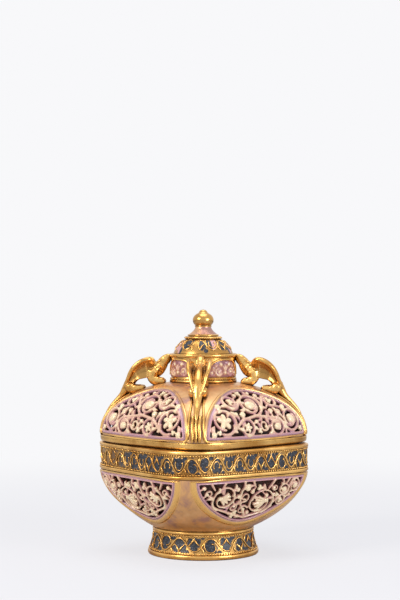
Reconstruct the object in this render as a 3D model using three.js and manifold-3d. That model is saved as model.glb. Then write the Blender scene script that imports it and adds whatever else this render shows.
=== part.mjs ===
// A lidded vase with a pierced double wall, in millimetres, +Z up.
// The origin is the middle of the foot's underside, and the flat sides of the body face X and Y.
// The lid stands a few degrees round from the bowl, as it was set down.
import * as THREE from "three";
import { mergeVertices } from "three/addons/utils/BufferGeometryUtils.js";
import Module from "manifold-3d";

const wasm = await Module();
wasm.setup();

// Driving dimensions of the foot
const FOOT_RADIUS = 50;
const FOOT_NECK_RADIUS = 44.6;
const FOOT_HEIGHT = 24.3;
const FOOT_LIP_HEIGHT = 5.4;
const FOOT_LIP_SET_BACK = 1.6;
const FOOT_WALL = 6.5;
const FOOT_COLLAR_HEIGHT = 3;
const FOOT_COLLAR_SWELL = 1.1;

// Driving dimensions of the bowl
const BODY_REACH = 94;
const SQUARENESS = 4.3;
const SQUARE_SHARE = 0.8;
const BOWL_HEIGHT = 50.6;
const BOWL_FULLNESS = 1.75;
const OUTER_WALL = 4.2;
const CAVITY = 4.6;
const INNER_WALL = 3.4;
const BOWL_FLOOR = 5;
const LINER_SHOULDER_SHARE = 0.08;
const BELT_HEIGHT = 24.6;
const BELT_WALL = 7.4;
const BELT_MOULDING_SWELL = 1.3;
const BELT_MOULDING_HEIGHT = 3.4;

// Driving dimensions of the lid
const LID_TURN_DEGREES = 5.5;
const LID_SET_BACK = 1.4;
const LID_RIM_HEIGHT = 6;
const LID_RIM_ROUND = 1.2;
const LID_RISE = 47.3;
const LID_FULLNESS = 2.15;
const SEAT_SHARE = 0.97;
const FLANGE_PLAY = 1.6;
const FLANGE_WALL = 3.6;
const FLANGE_DEPTH = 6.5;
const DRUM_RADIUS = 29;
const DRUM_HEIGHT = 25.6;
const DRUM_WALL = 4.4;
const DRUM_BASE_RING_HEIGHT = 4.6;
const DRUM_TOP_RING_HEIGHT = 4;
const DRUM_RING_SWELL = 1.4;

// Driving dimensions of the cap and the finial
const CAP_SET_BACK = 3.2;
const CAP_RISE = 12.4;
const CAP_ARC_DEGREES = 62;
const CAP_WALL = 3;
const CAP_RING_RADIUS = 16.2;
const CAP_RING_HEIGHT = 2.6;
const SPIRE_FOOT_RADIUS = 14.4;
const SPIRE_RISE = 9.1;
const SPIRE_RADIUS = 7.6;
const KNOB_RADIUS = 9.9;
const KNOB_HEIGHT = 10.6;
const BUTTON_RADIUS = 3.4;
const BUTTON_HEIGHT = 4.2;

// Driving dimensions of the pierced panels and of the plaques on the drum
const LID_PILASTER = 19.5;
const LID_PANEL_HEIGHT = 55;
const LID_ARCH_SQUARENESS = 2.3;
const BOWL_PILASTER = 20.4;
const BOWL_PANEL_HEIGHT = 47;
const BOWL_ARCH_SQUARENESS = 2;
const PANEL_SILL = 2.2;
const FRET_THICKNESS = 4;
const FRET_STAND = 0.6;
const SCROLL_BAR = 2.6;
const BUD_SHARE = 0.48;
const BUD_STEM_DEGREES = 50;
const BUD_TAPER_DEGREES = 14;
const PLAQUE_WIDTH = 33;
const PLAQUE_HEIGHT = 15.4;
const PLAQUE_THICKNESS = 1.6;
const PLAQUE_ARCH_SQUARENESS = 2.6;

// Thickness and spread of a dragon's wings, and how far apart its legs stand
const WING_THICKNESS = 2;
const WING_SPREAD = 8.8;
const FORELEG_SPREAD = 3.6;
const HIND_LEG_SPREAD = 4.4;

// Clearance kept wherever two pieces meet
const JOINT = 0.3;

// Fineness of the round work
const WALL_STEPS = 40;
const ROUND_STEPS = 26;
const WALL_MERIDIAN_STEPS = 5;
const LINER_MERIDIAN_STEPS = 4;
const ARCH_STEPS = 8;
const SILL_STEPS = 6;
const SCROLL_OUTER_STEPS = 6;
const SCROLL_INNER_STEPS = 3;
const LIMB_SIDES = 6;

// Heights that follow from the sizes above
const BOWL_Z = FOOT_HEIGHT + JOINT;
const BOWL_TOP_Z = BOWL_Z + BOWL_HEIGHT;
const BELT_Z = BOWL_TOP_Z + JOINT;
const SEAM_Z = BELT_Z + BELT_HEIGHT;
const LID_Z = SEAM_Z + JOINT;
const RIM_TOP_Z = LID_Z + LID_RIM_HEIGHT;
const DOME_Z = RIM_TOP_Z + JOINT;
const DOME_TOP_Z = DOME_Z + LID_RISE;
const DRUM_Z = DOME_TOP_Z + JOINT;
const CAP_Z = DRUM_Z + DRUM_HEIGHT + JOINT;
const CAP_RING_Z = CAP_Z + CAP_RISE;
const SPIRE_Z = CAP_RING_Z + CAP_RING_HEIGHT + JOINT;
const KNOB_Z = SPIRE_Z + SPIRE_RISE;

// Reaches that follow from the sizes above
const LID_REACH = BODY_REACH - LID_SET_BACK;
const LINER_REACH = BODY_REACH - BELT_WALL - JOINT;
const DRUM_RING_RADIUS = DRUM_RADIUS + DRUM_RING_SWELL;
const CAP_RADIUS = DRUM_RADIUS - CAP_SET_BACK;
const CIRCLE = 2;

const SIDES = [
  { name: "front", angle: -Math.PI / 2, mirrored: true },
  { name: "right", angle: 0, mirrored: false },
  { name: "back", angle: Math.PI / 2, mirrored: true },
  { name: "left", angle: Math.PI, mirrored: false },
];
const CORNERS = [
  { name: "front_right", angle: -Math.PI / 4 },
  { name: "back_right", angle: Math.PI / 4 },
  { name: "back_left", angle: (3 * Math.PI) / 4 },
  { name: "front_left", angle: (-3 * Math.PI) / 4 },
];

// Glazes and gilding
const gilding = new THREE.MeshStandardMaterial({ color: 0xc8922e, roughness: 0.28, metalness: 1 });
const lustre = new THREE.MeshStandardMaterial({ color: 0xa5713a, roughness: 0.42, metalness: 0.8 });
const enamel = new THREE.MeshStandardMaterial({ color: 0x46505f, roughness: 0.5, metalness: 0 });
const roseGlaze = new THREE.MeshStandardMaterial({ color: 0xe2c3bd, roughness: 0.2, metalness: 0 });
const brownGlaze = new THREE.MeshStandardMaterial({ color: 0x4a2a1a, roughness: 0.3, metalness: 0 });

const mix = (a, b, share) => a + (b - a) * share;
const smooth = (x) => {
  const share = Math.min(Math.max(x, 0), 1);
  return share * share * (3 - 2 * share);
};

// Closed mesh from points and triangles, turned so that its faces point out
function closedGeometry(points, triangles) {
  let volume = 0;
  for (const [a, b, c] of triangles) volume += points[a].dot(points[b].clone().cross(points[c]));
  const faces = volume < 0 ? triangles.map(([a, b, c]) => [a, c, b]) : triangles;
  const geometry = new THREE.BufferGeometry();
  geometry.setAttribute("position", new THREE.Float32BufferAttribute(points.flatMap((p) => p.toArray()), 3));
  geometry.setIndex(faces.flat());
  return geometry;
}

// Skin over a row of rings: a looped skin returns to its first ring, any other is capped at its ends
function loft(rings, looped) {
  const around = rings[0].length;
  const points = rings.flat();
  const triangles = [];
  const spans = looped ? rings.length : rings.length - 1;
  for (let j = 0; j < spans; j++) {
    const low = j * around;
    const high = ((j + 1) % rings.length) * around;
    for (let i = 0; i < around; i++) {
      const next = (i + 1) % around;
      triangles.push([low + i, low + next, high + i]);
      triangles.push([low + next, high + next, high + i]);
    }
  }
  if (looped) return closedGeometry(points, triangles);
  const last = rings.length - 1;
  for (const ring of [0, last]) {
    const middle = new THREE.Vector3();
    for (const point of rings[ring]) middle.addScaledVector(point, 1 / around);
    const hub = points.push(middle) - 1;
    for (let i = 0; i < around; i++) {
      const a = ring * around + i;
      const b = ring * around + ((i + 1) % around);
      triangles.push(ring === 0 ? [hub, b, a] : [hub, a, b]);
    }
  }
  return closedGeometry(points, triangles);
}

// Round piece from a profile of [radius, height] that closes on itself or starts and ends on the axis
function turned(profile) {
  const points = profile.map(([radius, height]) => new THREE.Vector2(radius, height));
  if (profile[0][0] > 0) points.push(points[0].clone());
  return new THREE.LatheGeometry(points, ROUND_STEPS).rotateX(Math.PI / 2);
}

function toSolid(geometry) {
  const bare = geometry.index ? geometry.toNonIndexed() : geometry.clone();
  bare.deleteAttribute("normal");
  bare.deleteAttribute("uv");
  const merged = mergeVertices(bare, 1e-4);
  const vertProperties = merged.attributes.position.array;
  const make = (triVerts) => new wasm.Manifold(new wasm.Mesh({ numProp: 3, vertProperties, triVerts }));
  const triVerts = new Uint32Array(merged.index.array);
  const solid = make(triVerts);
  return solid.volume() > 0 ? solid : make(triVerts.slice().reverse());
}

function toGeometry(solid) {
  const mesh = solid.getMesh();
  const geometry = new THREE.BufferGeometry();
  geometry.setAttribute("position", new THREE.BufferAttribute(mesh.vertProperties, 3));
  geometry.setIndex(new THREE.BufferAttribute(mesh.triVerts, 1));
  return geometry;
}

function piece(name, geometry, material) {
  const mesh = new THREE.Mesh(geometry, material);
  mesh.name = name;
  return mesh;
}

// Plan of the body: 1 at a corner and less at the middle of a side, down to a circle
function planShare(angle, squareness) {
  const across = Math.abs(Math.cos(angle)) ** squareness + Math.abs(Math.sin(angle)) ** squareness;
  return across ** (-1 / squareness) / 2 ** (0.5 - 1 / squareness);
}

function planRing(reach, z, squareness) {
  return Array.from({ length: WALL_STEPS }, (_, i) => {
    const angle = (i / WALL_STEPS) * 2 * Math.PI;
    const radius = reach * planShare(angle, squareness);
    return new THREE.Vector3(radius * Math.cos(angle), radius * Math.sin(angle), z);
  });
}

// Bulging wall between the square belt and a round neck. A place on it is an angle and a share of the
// way to the neck, or the arc lengths across one side and along it, with the stand over the surface.
function bulge({ reach, neck, rise, fullness, z, up }) {
  const power = 2 / fullness;
  const lastTurn = Math.acos((neck / reach) ** (1 / power));
  const height = rise / Math.sin(lastTurn) ** power;
  const squareReach = mix(neck, reach, SQUARE_SHARE);

  function bare(angle, share) {
    const turn = share * lastTurn;
    const radius = reach * Math.cos(turn) ** power;
    const squareness = mix(CIRCLE, SQUARENESS, smooth((radius - neck) / (squareReach - neck)));
    const out = radius * planShare(angle, squareness);
    const level = z + up * height * Math.sin(turn) ** power;
    return new THREE.Vector3(out * Math.cos(angle), out * Math.sin(angle), level);
  }

  function at(angle, share, stand) {
    const step = 1e-3;
    const around = bare(angle + step, share).sub(bare(angle - step, share));
    const along = bare(angle, Math.min(share + step, 1)).sub(bare(angle, Math.max(share - step, 1e-4)));
    const normal = around.cross(along).multiplyScalar(up).normalize();
    return bare(angle, share).addScaledVector(normal, stand);
  }

  const alongSteps = 60;
  const alongTable = [0];
  for (let i = 1; i <= alongSteps; i++) {
    const span = bare(0, i / alongSteps).distanceTo(bare(0, (i - 1) / alongSteps));
    alongTable.push(alongTable[i - 1] + span);
  }

  function shareAt(along) {
    let i = 1;
    while (i < alongSteps && alongTable[i] < along) i++;
    return (i - 1 + (along - alongTable[i - 1]) / (alongTable[i] - alongTable[i - 1])) / alongSteps;
  }

  const degree = Math.PI / 180;
  function acrossAt(angle, share) {
    let length = 0;
    for (let from = 0; from < angle; from += degree) {
      length += bare(Math.min(from + degree, angle), share).distanceTo(bare(from, share));
    }
    return length;
  }

  function angleAt(across, share) {
    const target = Math.abs(across);
    let angle = 0;
    let length = 0;
    while (angle < Math.PI / 2) {
      const span = bare(angle + degree, share).distanceTo(bare(angle, share));
      if (length + span >= target) return Math.sign(across) * (angle + (degree * (target - length)) / span);
      length += span;
      angle += degree;
    }
    return Math.sign(across) * angle;
  }

  function onSide(across, along, stand) {
    const share = shareAt(along);
    return at(angleAt(across, share), share, stand);
  }

  function rings(stand, from, to, count) {
    return Array.from({ length: count + 1 }, (_, j) => {
      const share = mix(from, to, j / count);
      return Array.from({ length: WALL_STEPS }, (_, i) => at((i / WALL_STEPS) * 2 * Math.PI, share, stand));
    });
  }

  const cornerLevel = (out) => z + up * height * Math.max(1 - (out / reach) ** fullness, 0) ** (1 / fullness);

  return { shareAt, acrossAt, angleAt, onSide, rings, cornerLevel };
}

const bowlBulge = bulge({
  reach: BODY_REACH,
  neck: FOOT_NECK_RADIUS,
  rise: BOWL_HEIGHT,
  fullness: BOWL_FULLNESS,
  z: BOWL_TOP_Z,
  up: -1,
});
const lidBulge = bulge({
  reach: LID_REACH,
  neck: DRUM_RING_RADIUS,
  rise: LID_RISE,
  fullness: LID_FULLNESS,
  z: DOME_Z,
  up: 1,
});

// Rows of an arched opening, from its flat sill at the belt to its crown towards the neck
function archRows({ surface, pilaster, rise, squareness }, clearance) {
  const power = 2 / squareness;
  const sill = PANEL_SILL + clearance;
  const sillShare = surface.shareAt(sill);
  const sideHalf = surface.acrossAt(Math.PI / 4, sillShare);
  const widest = surface.angleAt(sideHalf - pilaster / 2, sillShare);
  return Array.from({ length: ARCH_STEPS + 1 }, (_, i) => {
    const turn = (i / ARCH_STEPS) * (Math.PI / 2);
    const along = sill + (rise - PANEL_SILL - 2 * clearance) * Math.sin(turn) ** power;
    const angle = i === ARCH_STEPS ? 0 : widest * Math.cos(turn) ** power;
    return { half: Math.max(surface.acrossAt(angle, surface.shareAt(along)) - clearance, 0), along };
  });
}

// Arched slab between two depths, its rows laid on a surface by `place`
function archedSlab(rows, place, depths) {
  const columns = SILL_STEPS + 1;
  const fullRows = rows.slice(0, -1);
  const crown = rows[rows.length - 1];
  const points = [];
  for (const depth of depths) {
    for (const { half, along } of fullRows) {
      for (let i = 0; i < columns; i++) points.push(place(half * (-1 + (2 * i) / SILL_STEPS), along, depth));
    }
  }
  for (const depth of depths) points.push(place(0, crown.along, depth));
  const id = (layer, row, column) => (layer * fullRows.length + row) * columns + column;
  const crownId = (layer) => 2 * fullRows.length * columns + layer;
  const last = fullRows.length - 1;
  const triangles = [];
  const quad = (a, b, c, d) => triangles.push([a, b, c], [a, c, d]);
  for (let i = 0; i < SILL_STEPS; i++) {
    for (let j = 0; j < last; j++) {
      quad(id(0, j, i), id(0, j, i + 1), id(0, j + 1, i + 1), id(0, j + 1, i));
      quad(id(1, j, i), id(1, j + 1, i), id(1, j + 1, i + 1), id(1, j, i + 1));
    }
    triangles.push([id(0, last, i), id(0, last, i + 1), crownId(0)]);
    triangles.push([id(1, last, i + 1), id(1, last, i), crownId(1)]);
    quad(id(0, 0, i + 1), id(0, 0, i), id(1, 0, i), id(1, 0, i + 1));
  }
  for (let j = 0; j < last; j++) {
    quad(id(0, j, SILL_STEPS), id(1, j, SILL_STEPS), id(1, j + 1, SILL_STEPS), id(0, j + 1, SILL_STEPS));
    quad(id(0, j, 0), id(0, j + 1, 0), id(1, j + 1, 0), id(1, j, 0));
  }
  quad(id(0, last, SILL_STEPS), id(1, last, SILL_STEPS), crownId(1), crownId(0));
  quad(id(0, last, 0), crownId(0), crownId(1), id(1, last, 0));
  return closedGeometry(points, triangles);
}

// The arched openings of the lid and of the bowl
const LID_OPENING = {
  surface: lidBulge,
  pilaster: LID_PILASTER,
  rise: LID_PANEL_HEIGHT,
  squareness: LID_ARCH_SQUARENESS,
};
const BOWL_OPENING = {
  surface: bowlBulge,
  pilaster: BOWL_PILASTER,
  rise: BOWL_PANEL_HEIGHT,
  squareness: BOWL_ARCH_SQUARENESS,
};

function cutOpenings(wall, opening) {
  const depth = OUTER_WALL + CAVITY / 2;
  const cutter = archedSlab(archRows(opening, 0), opening.surface.onSide, [depth, -depth]);
  let solid = toSolid(wall);
  for (const { angle } of SIDES) solid = solid.subtract(toSolid(cutter.clone().rotateZ(angle)));
  return toGeometry(solid);
}

// Scrolls of a panel: [across, along, radius, angle in degrees where the bud grows from its stem],
// and the small gaps between them: [across, along, size, turn in degrees].
// Across is a share of the panel's half width and along a share of its rise. Radius and size are shares
// of the half width, or of the rise times the aspect where that is less, so that scrolls stay apart.
const LID_PATTERN = {
  aspect: 1.055,
  scrolls: [
    [-0.716, 0.3, 0.176, 200],
    [-0.336, 0.264, 0.166, 80],
    [0.048, 0.284, 0.176, 300],
    [0.434, 0.264, 0.162, 40],
    [0.752, 0.262, 0.131, 120],
    [-0.388, 0.636, 0.159, 250],
    [-0.017, 0.755, 0.148, 160],
    [0.359, 0.662, 0.159, 20],
  ],
  gaps: [
    [-0.534, 0.116, 0.062, 90],
    [-0.148, 0.113, 0.062, 90],
    [0.241, 0.113, 0.059, 90],
    [0.603, 0.113, 0.059, 90],
    [-0.572, 0.502, 0.059, 30],
    [-0.164, 0.5, 0.086, 50],
    [0.159, 0.527, 0.066, 70],
    [0.578, 0.482, 0.076, 30],
    [-0.224, 0.836, 0.052, 90],
    [0.179, 0.88, 0.048, 90],
  ],
};
const BOWL_PATTERN = {
  aspect: 1.234,
  scrolls: [
    [-0.707, 0.302, 0.155, 60],
    [-0.336, 0.319, 0.169, 200],
    [0.055, 0.298, 0.155, 280],
    [0.434, 0.315, 0.162, 140],
    [0.752, 0.264, 0.124, 90],
    [-0.181, 0.728, 0.141, 90],
    [0.207, 0.711, 0.148, 210],
  ],
  gaps: [
    [-0.524, 0.119, 0.052, 90],
    [-0.138, 0.115, 0.052, 90],
    [0.248, 0.115, 0.052, 90],
    [0.61, 0.115, 0.048, 90],
    [-0.526, 0.532, 0.076, 90],
    [0.021, 0.562, 0.059, 90],
    [0.474, 0.621, 0.072, 40],
    [-0.431, 0.698, 0.055, 30],
    [0.66, 0.485, 0.055, 70],
    [0.017, 0.877, 0.041, 90],
  ],
};

// Crescent-shaped piercing between a scroll and the bud inside it
function crescent(across, along, radius, budDegrees) {
  const outer = radius - SCROLL_BAR / 2;
  const inner = outer * BUD_SHARE;
  const start = THREE.MathUtils.degToRad(budDegrees + BUD_STEM_DEGREES);
  const end = THREE.MathUtils.degToRad(budDegrees + 360 - BUD_STEM_DEGREES);
  const points = [];
  const arc = (steps, arcRadius, from, to) => {
    for (let i = 0; i < steps; i++) {
      const angle = mix(from, to, i / (steps - 1));
      const spoke = new THREE.Vector2(Math.cos(angle), Math.sin(angle)).multiplyScalar(arcRadius);
      points.push(spoke.add(new THREE.Vector2(across, along)));
    }
  };
  const taper = THREE.MathUtils.degToRad(BUD_TAPER_DEGREES);
  arc(SCROLL_OUTER_STEPS, outer, start, end);
  arc(SCROLL_INNER_STEPS, inner, end - taper, start + taper);
  return new THREE.Path(points);
}

// Three-cornered piercing
function threeCornered(across, along, size, degrees) {
  const points = [0, 1, 2].map((corner) => {
    const angle = THREE.MathUtils.degToRad(degrees) + (corner * 2 * Math.PI) / 3;
    return new THREE.Vector2(across + size * Math.cos(angle), along + size * Math.sin(angle));
  });
  return new THREE.Path(points);
}

// Pierced panel that fits its opening: drawn flat, then laid on the bulge
function fretwork(opening, pattern, mirrored) {
  const rows = archRows(opening, JOINT);
  const sillHalf = rows[0].half;
  const outline = [];
  for (let i = 0; i < SILL_STEPS; i++) {
    outline.push(new THREE.Vector2(sillHalf * (-1 + (2 * i) / SILL_STEPS), rows[0].along));
  }
  for (const { half, along } of rows) outline.push(new THREE.Vector2(half, along));
  for (const { half, along } of rows.slice(1, -1).reverse()) outline.push(new THREE.Vector2(-half, along));
  const shape = new THREE.Shape(outline);
  const size = Math.min(sillHalf, opening.rise * pattern.aspect);
  for (const [across, along, radius, turn] of pattern.scrolls) {
    shape.holes.push(crescent(across * sillHalf, along * opening.rise, radius * size, turn));
  }
  for (const [across, along, gap, turn] of pattern.gaps) {
    shape.holes.push(threeCornered(across * sillHalf, along * opening.rise, gap * size, turn));
  }
  const geometry = new THREE.ExtrudeGeometry(shape, { depth: FRET_THICKNESS, bevelEnabled: false, steps: 1 });
  const position = geometry.attributes.position;
  const inside = FRET_THICKNESS - FRET_STAND;
  for (let i = 0; i < position.count; i++) {
    const across = mirrored ? -position.getX(i) : position.getX(i);
    const point = opening.surface.onSide(across, position.getY(i), position.getZ(i) - inside);
    position.setXYZ(i, point.x, point.y, point.z);
  }
  return toGeometry(toSolid(geometry));
}

function fretworks(where, opening, pattern) {
  return SIDES.map(({ name, angle, mirrored }) => {
    const panel = fretwork(opening, pattern, mirrored).rotateZ(angle);
    return piece(`${where}_fretwork_${name}`, panel, roseGlaze);
  });
}

// Foot: a flared ring with a rounded lip below and a collar above
function foot() {
  const lip = FOOT_LIP_HEIGHT;
  const collarZ = FOOT_HEIGHT - FOOT_COLLAR_HEIGHT;
  const flareRadius = FOOT_RADIUS - FOOT_LIP_SET_BACK;
  const inner = FOOT_NECK_RADIUS - FOOT_WALL;
  const profile = [
    [FOOT_RADIUS - FOOT_WALL, 0],
    [FOOT_RADIUS - FOOT_LIP_SET_BACK / 2, 0],
    [FOOT_RADIUS, lip / 3],
    [FOOT_RADIUS, (2 * lip) / 3],
    [flareRadius, lip],
    [mix(flareRadius, FOOT_NECK_RADIUS, 0.55), mix(lip, collarZ, 0.3)],
    [mix(flareRadius, FOOT_NECK_RADIUS, 0.9), mix(lip, collarZ, 0.65)],
    [FOOT_NECK_RADIUS, collarZ],
    [FOOT_NECK_RADIUS + FOOT_COLLAR_SWELL, collarZ + FOOT_COLLAR_HEIGHT / 3],
    [FOOT_NECK_RADIUS + FOOT_COLLAR_SWELL, collarZ + (2 * FOOT_COLLAR_HEIGHT) / 3],
    [FOOT_NECK_RADIUS, FOOT_HEIGHT],
    [inner, FOOT_HEIGHT],
    [inner, mix(lip, FOOT_HEIGHT, 0.5)],
  ];
  return piece("foot", turned(profile), gilding);
}

// Outer wall of the bowl, with its four arched openings; it stands on the foot
function bowlWall() {
  const outside = bowlBulge.rings(0, 0, 1, WALL_MERIDIAN_STEPS);
  const inside = bowlBulge.rings(-OUTER_WALL, 1, 0, WALL_MERIDIAN_STEPS);
  const seat = planRing(FOOT_NECK_RADIUS - OUTER_WALL, BOWL_Z, CIRCLE);
  return piece("bowl_wall", cutOpenings(loft([...outside, seat, ...inside], true), BOWL_OPENING), lustre);
}

// Belt round the top of the bowl, with a moulding along each edge
function bowlBelt() {
  const swell = BODY_REACH + BELT_MOULDING_SWELL;
  const high = BELT_MOULDING_HEIGHT;
  const profile = [
    [BODY_REACH - BELT_WALL, BELT_Z],
    [BODY_REACH, BELT_Z],
    [swell, BELT_Z + high / 3],
    [swell, BELT_Z + (2 * high) / 3],
    [BODY_REACH, BELT_Z + high],
    [BODY_REACH, SEAM_Z - high],
    [swell, SEAM_Z - (2 * high) / 3],
    [swell, SEAM_Z - high / 3],
    [BODY_REACH - BELT_MOULDING_SWELL, SEAM_Z],
    [BODY_REACH - BELT_WALL, SEAM_Z],
  ];
  const rings = profile.map(([reach, z]) => planRing(reach, z, SQUARENESS));
  return piece("bowl_belt", loft(rings, true), enamel);
}

// Plain inner wall of the bowl, which holds the contents; its floor stands on the foot
function bowlLiner() {
  const outer = OUTER_WALL + CAVITY;
  const floorRadius = FOOT_NECK_RADIUS - OUTER_WALL - JOINT;
  const innerReach = LINER_REACH - INNER_WALL;
  const rings = [
    planRing(floorRadius, BOWL_Z, CIRCLE),
    ...bowlBulge.rings(-outer, 1, LINER_SHOULDER_SHARE, LINER_MERIDIAN_STEPS),
    planRing(LINER_REACH, BELT_Z, SQUARENESS),
    planRing(LINER_REACH, SEAM_Z, SQUARENESS),
    planRing(innerReach, SEAM_Z, SQUARENESS),
    planRing(innerReach, BELT_Z, SQUARENESS),
    ...bowlBulge.rings(-outer - INNER_WALL, LINER_SHOULDER_SHARE, 1, LINER_MERIDIAN_STEPS),
    planRing(floorRadius - INNER_WALL, BOWL_Z + BOWL_FLOOR, CIRCLE),
  ];
  return piece("bowl_liner", loft(rings, false), brownGlaze);
}

// Rim of the lid: it rests on the belt, and its round flange hangs inside the bowl with play all round
function lidRim() {
  const wellHalf = (LINER_REACH - INNER_WALL) * planShare(0, SQUARENESS);
  const flangeOuter = wellHalf - FLANGE_PLAY;
  const flangeInner = flangeOuter - FLANGE_WALL;
  const flangeZ = LID_Z - FLANGE_DEPTH;
  const rings = [
    planRing(LID_REACH - LID_RIM_ROUND, LID_Z, SQUARENESS),
    planRing(LID_REACH, LID_Z + LID_RIM_ROUND, SQUARENESS),
    planRing(LID_REACH, RIM_TOP_Z, SQUARENESS),
    planRing(flangeInner, RIM_TOP_Z, CIRCLE),
    planRing(flangeInner, flangeZ, CIRCLE),
    planRing(flangeOuter - LID_RIM_ROUND, flangeZ, CIRCLE),
    planRing(flangeOuter, flangeZ + LID_RIM_ROUND, CIRCLE),
    planRing(flangeOuter, LID_Z, CIRCLE),
  ];
  return piece("lid_rim", loft(rings, true), gilding);
}

// Domed outer wall of the lid, with its four arched openings and a flat seat for the drum
function lidWall() {
  const seatRadius = DRUM_RADIUS - DRUM_WALL;
  const rings = [
    ...lidBulge.rings(0, 0, 1, WALL_MERIDIAN_STEPS),
    planRing(seatRadius, DOME_TOP_Z, CIRCLE),
    planRing(seatRadius, DOME_TOP_Z - OUTER_WALL, CIRCLE),
    ...lidBulge.rings(-OUTER_WALL, SEAT_SHARE, 0, WALL_MERIDIAN_STEPS),
  ];
  return piece("lid_wall", cutOpenings(loft(rings, true), LID_OPENING), lustre);
}

// Plain inner dome of the lid, closed below the drum
function lidLiner() {
  const outer = OUTER_WALL + CAVITY;
  const rings = [
    ...lidBulge.rings(-outer, 1, 0, LINER_MERIDIAN_STEPS),
    ...lidBulge.rings(-outer - INNER_WALL, 0, 1, LINER_MERIDIAN_STEPS),
  ];
  return piece("lid_liner", loft(rings, false), brownGlaze);
}

// Drum on the lid, with a ring at its base and at its top
function drum() {
  const inner = DRUM_RADIUS - DRUM_WALL;
  const topZ = DRUM_Z + DRUM_HEIGHT;
  const profile = [
    [inner, DRUM_Z],
    [DRUM_RING_RADIUS, DRUM_Z],
    [DRUM_RING_RADIUS, DRUM_Z + DRUM_BASE_RING_HEIGHT - DRUM_RING_SWELL],
    [DRUM_RADIUS, DRUM_Z + DRUM_BASE_RING_HEIGHT],
    [DRUM_RADIUS, topZ - DRUM_TOP_RING_HEIGHT],
    [DRUM_RING_RADIUS, topZ - DRUM_TOP_RING_HEIGHT + DRUM_RING_SWELL],
    [DRUM_RING_RADIUS, topZ],
    [inner, topZ],
  ];
  return piece("lid_drum", turned(profile), gilding);
}

// Arched relief plaques on the drum, one to each side
function drumPlaques() {
  const power = 2 / PLAQUE_ARCH_SQUARENESS;
  const rows = Array.from({ length: ARCH_STEPS + 1 }, (_, i) => {
    const turn = (i / ARCH_STEPS) * (Math.PI / 2);
    const half = (PLAQUE_WIDTH / 2) * Math.cos(turn) ** power;
    return { half, along: PLAQUE_HEIGHT * Math.sin(turn) ** power };
  });
  const seat = DRUM_RADIUS + JOINT;
  const sillZ = DRUM_Z + DRUM_BASE_RING_HEIGHT + JOINT;
  const onDrum = (across, along, stand) => {
    const angle = across / DRUM_RADIUS;
    const out = seat + stand;
    return new THREE.Vector3(out * Math.cos(angle), out * Math.sin(angle), sillZ + along);
  };
  const plaque = archedSlab(rows, onDrum, [PLAQUE_THICKNESS, 0]);
  return SIDES.map(({ name, angle }) =>
    piece(`drum_plaque_${name}`, plaque.clone().rotateZ(angle), roseGlaze),
  );
}

// Cap of the drum: a hollow dome that ends in a ring
function cap() {
  const arc = THREE.MathUtils.degToRad(CAP_ARC_DEGREES);
  const steps = 5;
  const dome = Array.from({ length: steps }, (_, i) => {
    const turn = (i / (steps - 1)) * arc;
    const inwards = (1 - Math.cos(turn)) / (1 - Math.cos(arc));
    return [mix(CAP_RADIUS, CAP_RING_RADIUS, inwards), CAP_Z + (CAP_RISE * Math.sin(turn)) / Math.sin(arc)];
  });
  const ringTopZ = CAP_RING_Z + CAP_RING_HEIGHT;
  const profile = [
    [0, ringTopZ],
    [CAP_RING_RADIUS - CAP_RING_HEIGHT / 3, ringTopZ],
    [CAP_RING_RADIUS, ringTopZ - CAP_RING_HEIGHT / 3],
    ...dome.reverse(),
    [CAP_RADIUS - CAP_WALL, CAP_Z],
    [CAP_RING_RADIUS, CAP_RING_Z - CAP_WALL],
    [0, CAP_RING_Z],
  ];
  return piece("lid_cap", turned(profile.reverse()), enamel);
}

// Finial: a hollow-sided spire, a round knob and a button
function finial() {
  const spire = [0, 0.25, 0.5, 0.75].map((share) => {
    const sweep = 1 - Math.sqrt(1 - (1 - share) ** 2);
    return [mix(SPIRE_RADIUS, SPIRE_FOOT_RADIUS, sweep), SPIRE_Z + share * SPIRE_RISE];
  });
  const knobMiddleZ = KNOB_Z + KNOB_HEIGHT / 2;
  const knob = [-1, -0.6, -0.2, 0.2, 0.6, 1].map((share) => {
    const across = Math.sqrt(1 - (0.72 * share) ** 2);
    return [KNOB_RADIUS * across, knobMiddleZ + (share * KNOB_HEIGHT) / 2];
  });
  const buttonZ = KNOB_Z + KNOB_HEIGHT;
  const profile = [
    [0, SPIRE_Z],
    ...spire,
    [SPIRE_RADIUS, KNOB_Z],
    ...knob,
    [BUTTON_RADIUS, buttonZ + BUTTON_HEIGHT / 4],
    [BUTTON_RADIUS, buttonZ + BUTTON_HEIGHT / 2],
    [BUTTON_RADIUS / 2, buttonZ + BUTTON_HEIGHT],
    [0, buttonZ + BUTTON_HEIGHT],
  ];
  return piece("finial", turned(profile), gilding);
}

// Stations of a dragon from the side: [share of the way from the drum to the lid's rim, height over the
// lid as a share of the drum's height, half width, half depth]
const DRAGON_SPINE = [
  [0.02, 0.98, 1.8, 1.8],
  [0.065, 0.92, 3.2, 3.4],
  [0.12, 0.77, 4.2, 5],
  [0.19, 0.5, 4, 4.6],
  [0.25, 0.47, 5, 6],
  [0.35, 0.51, 5, 5.6],
  [0.45, 0.48, 4.6, 5.2],
  [0.55, 0.4, 5, 5.6],
  [0.635, 0.25, 3.8, 4],
  [0.73, 0.13, 2.8, 2.8],
  [0.82, 0.06, 2.2, 2.2],
  [0.92, 0.01, 1.4, 1.3],
];
const DRAGON_FORELEG = [
  [0.22, 0.46, 2.8, 4.6],
  [0.205, 0.2, 2.6, 5.4],
  [0.185, -0.08, 2.6, 4.2],
];
const DRAGON_HIND_LEG = [
  [0.57, 0.42, 3, 4.6],
  [0.515, 0.2, 2.7, 3.6],
  [0.44, -0.08, 2.4, 2.8],
];

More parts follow.
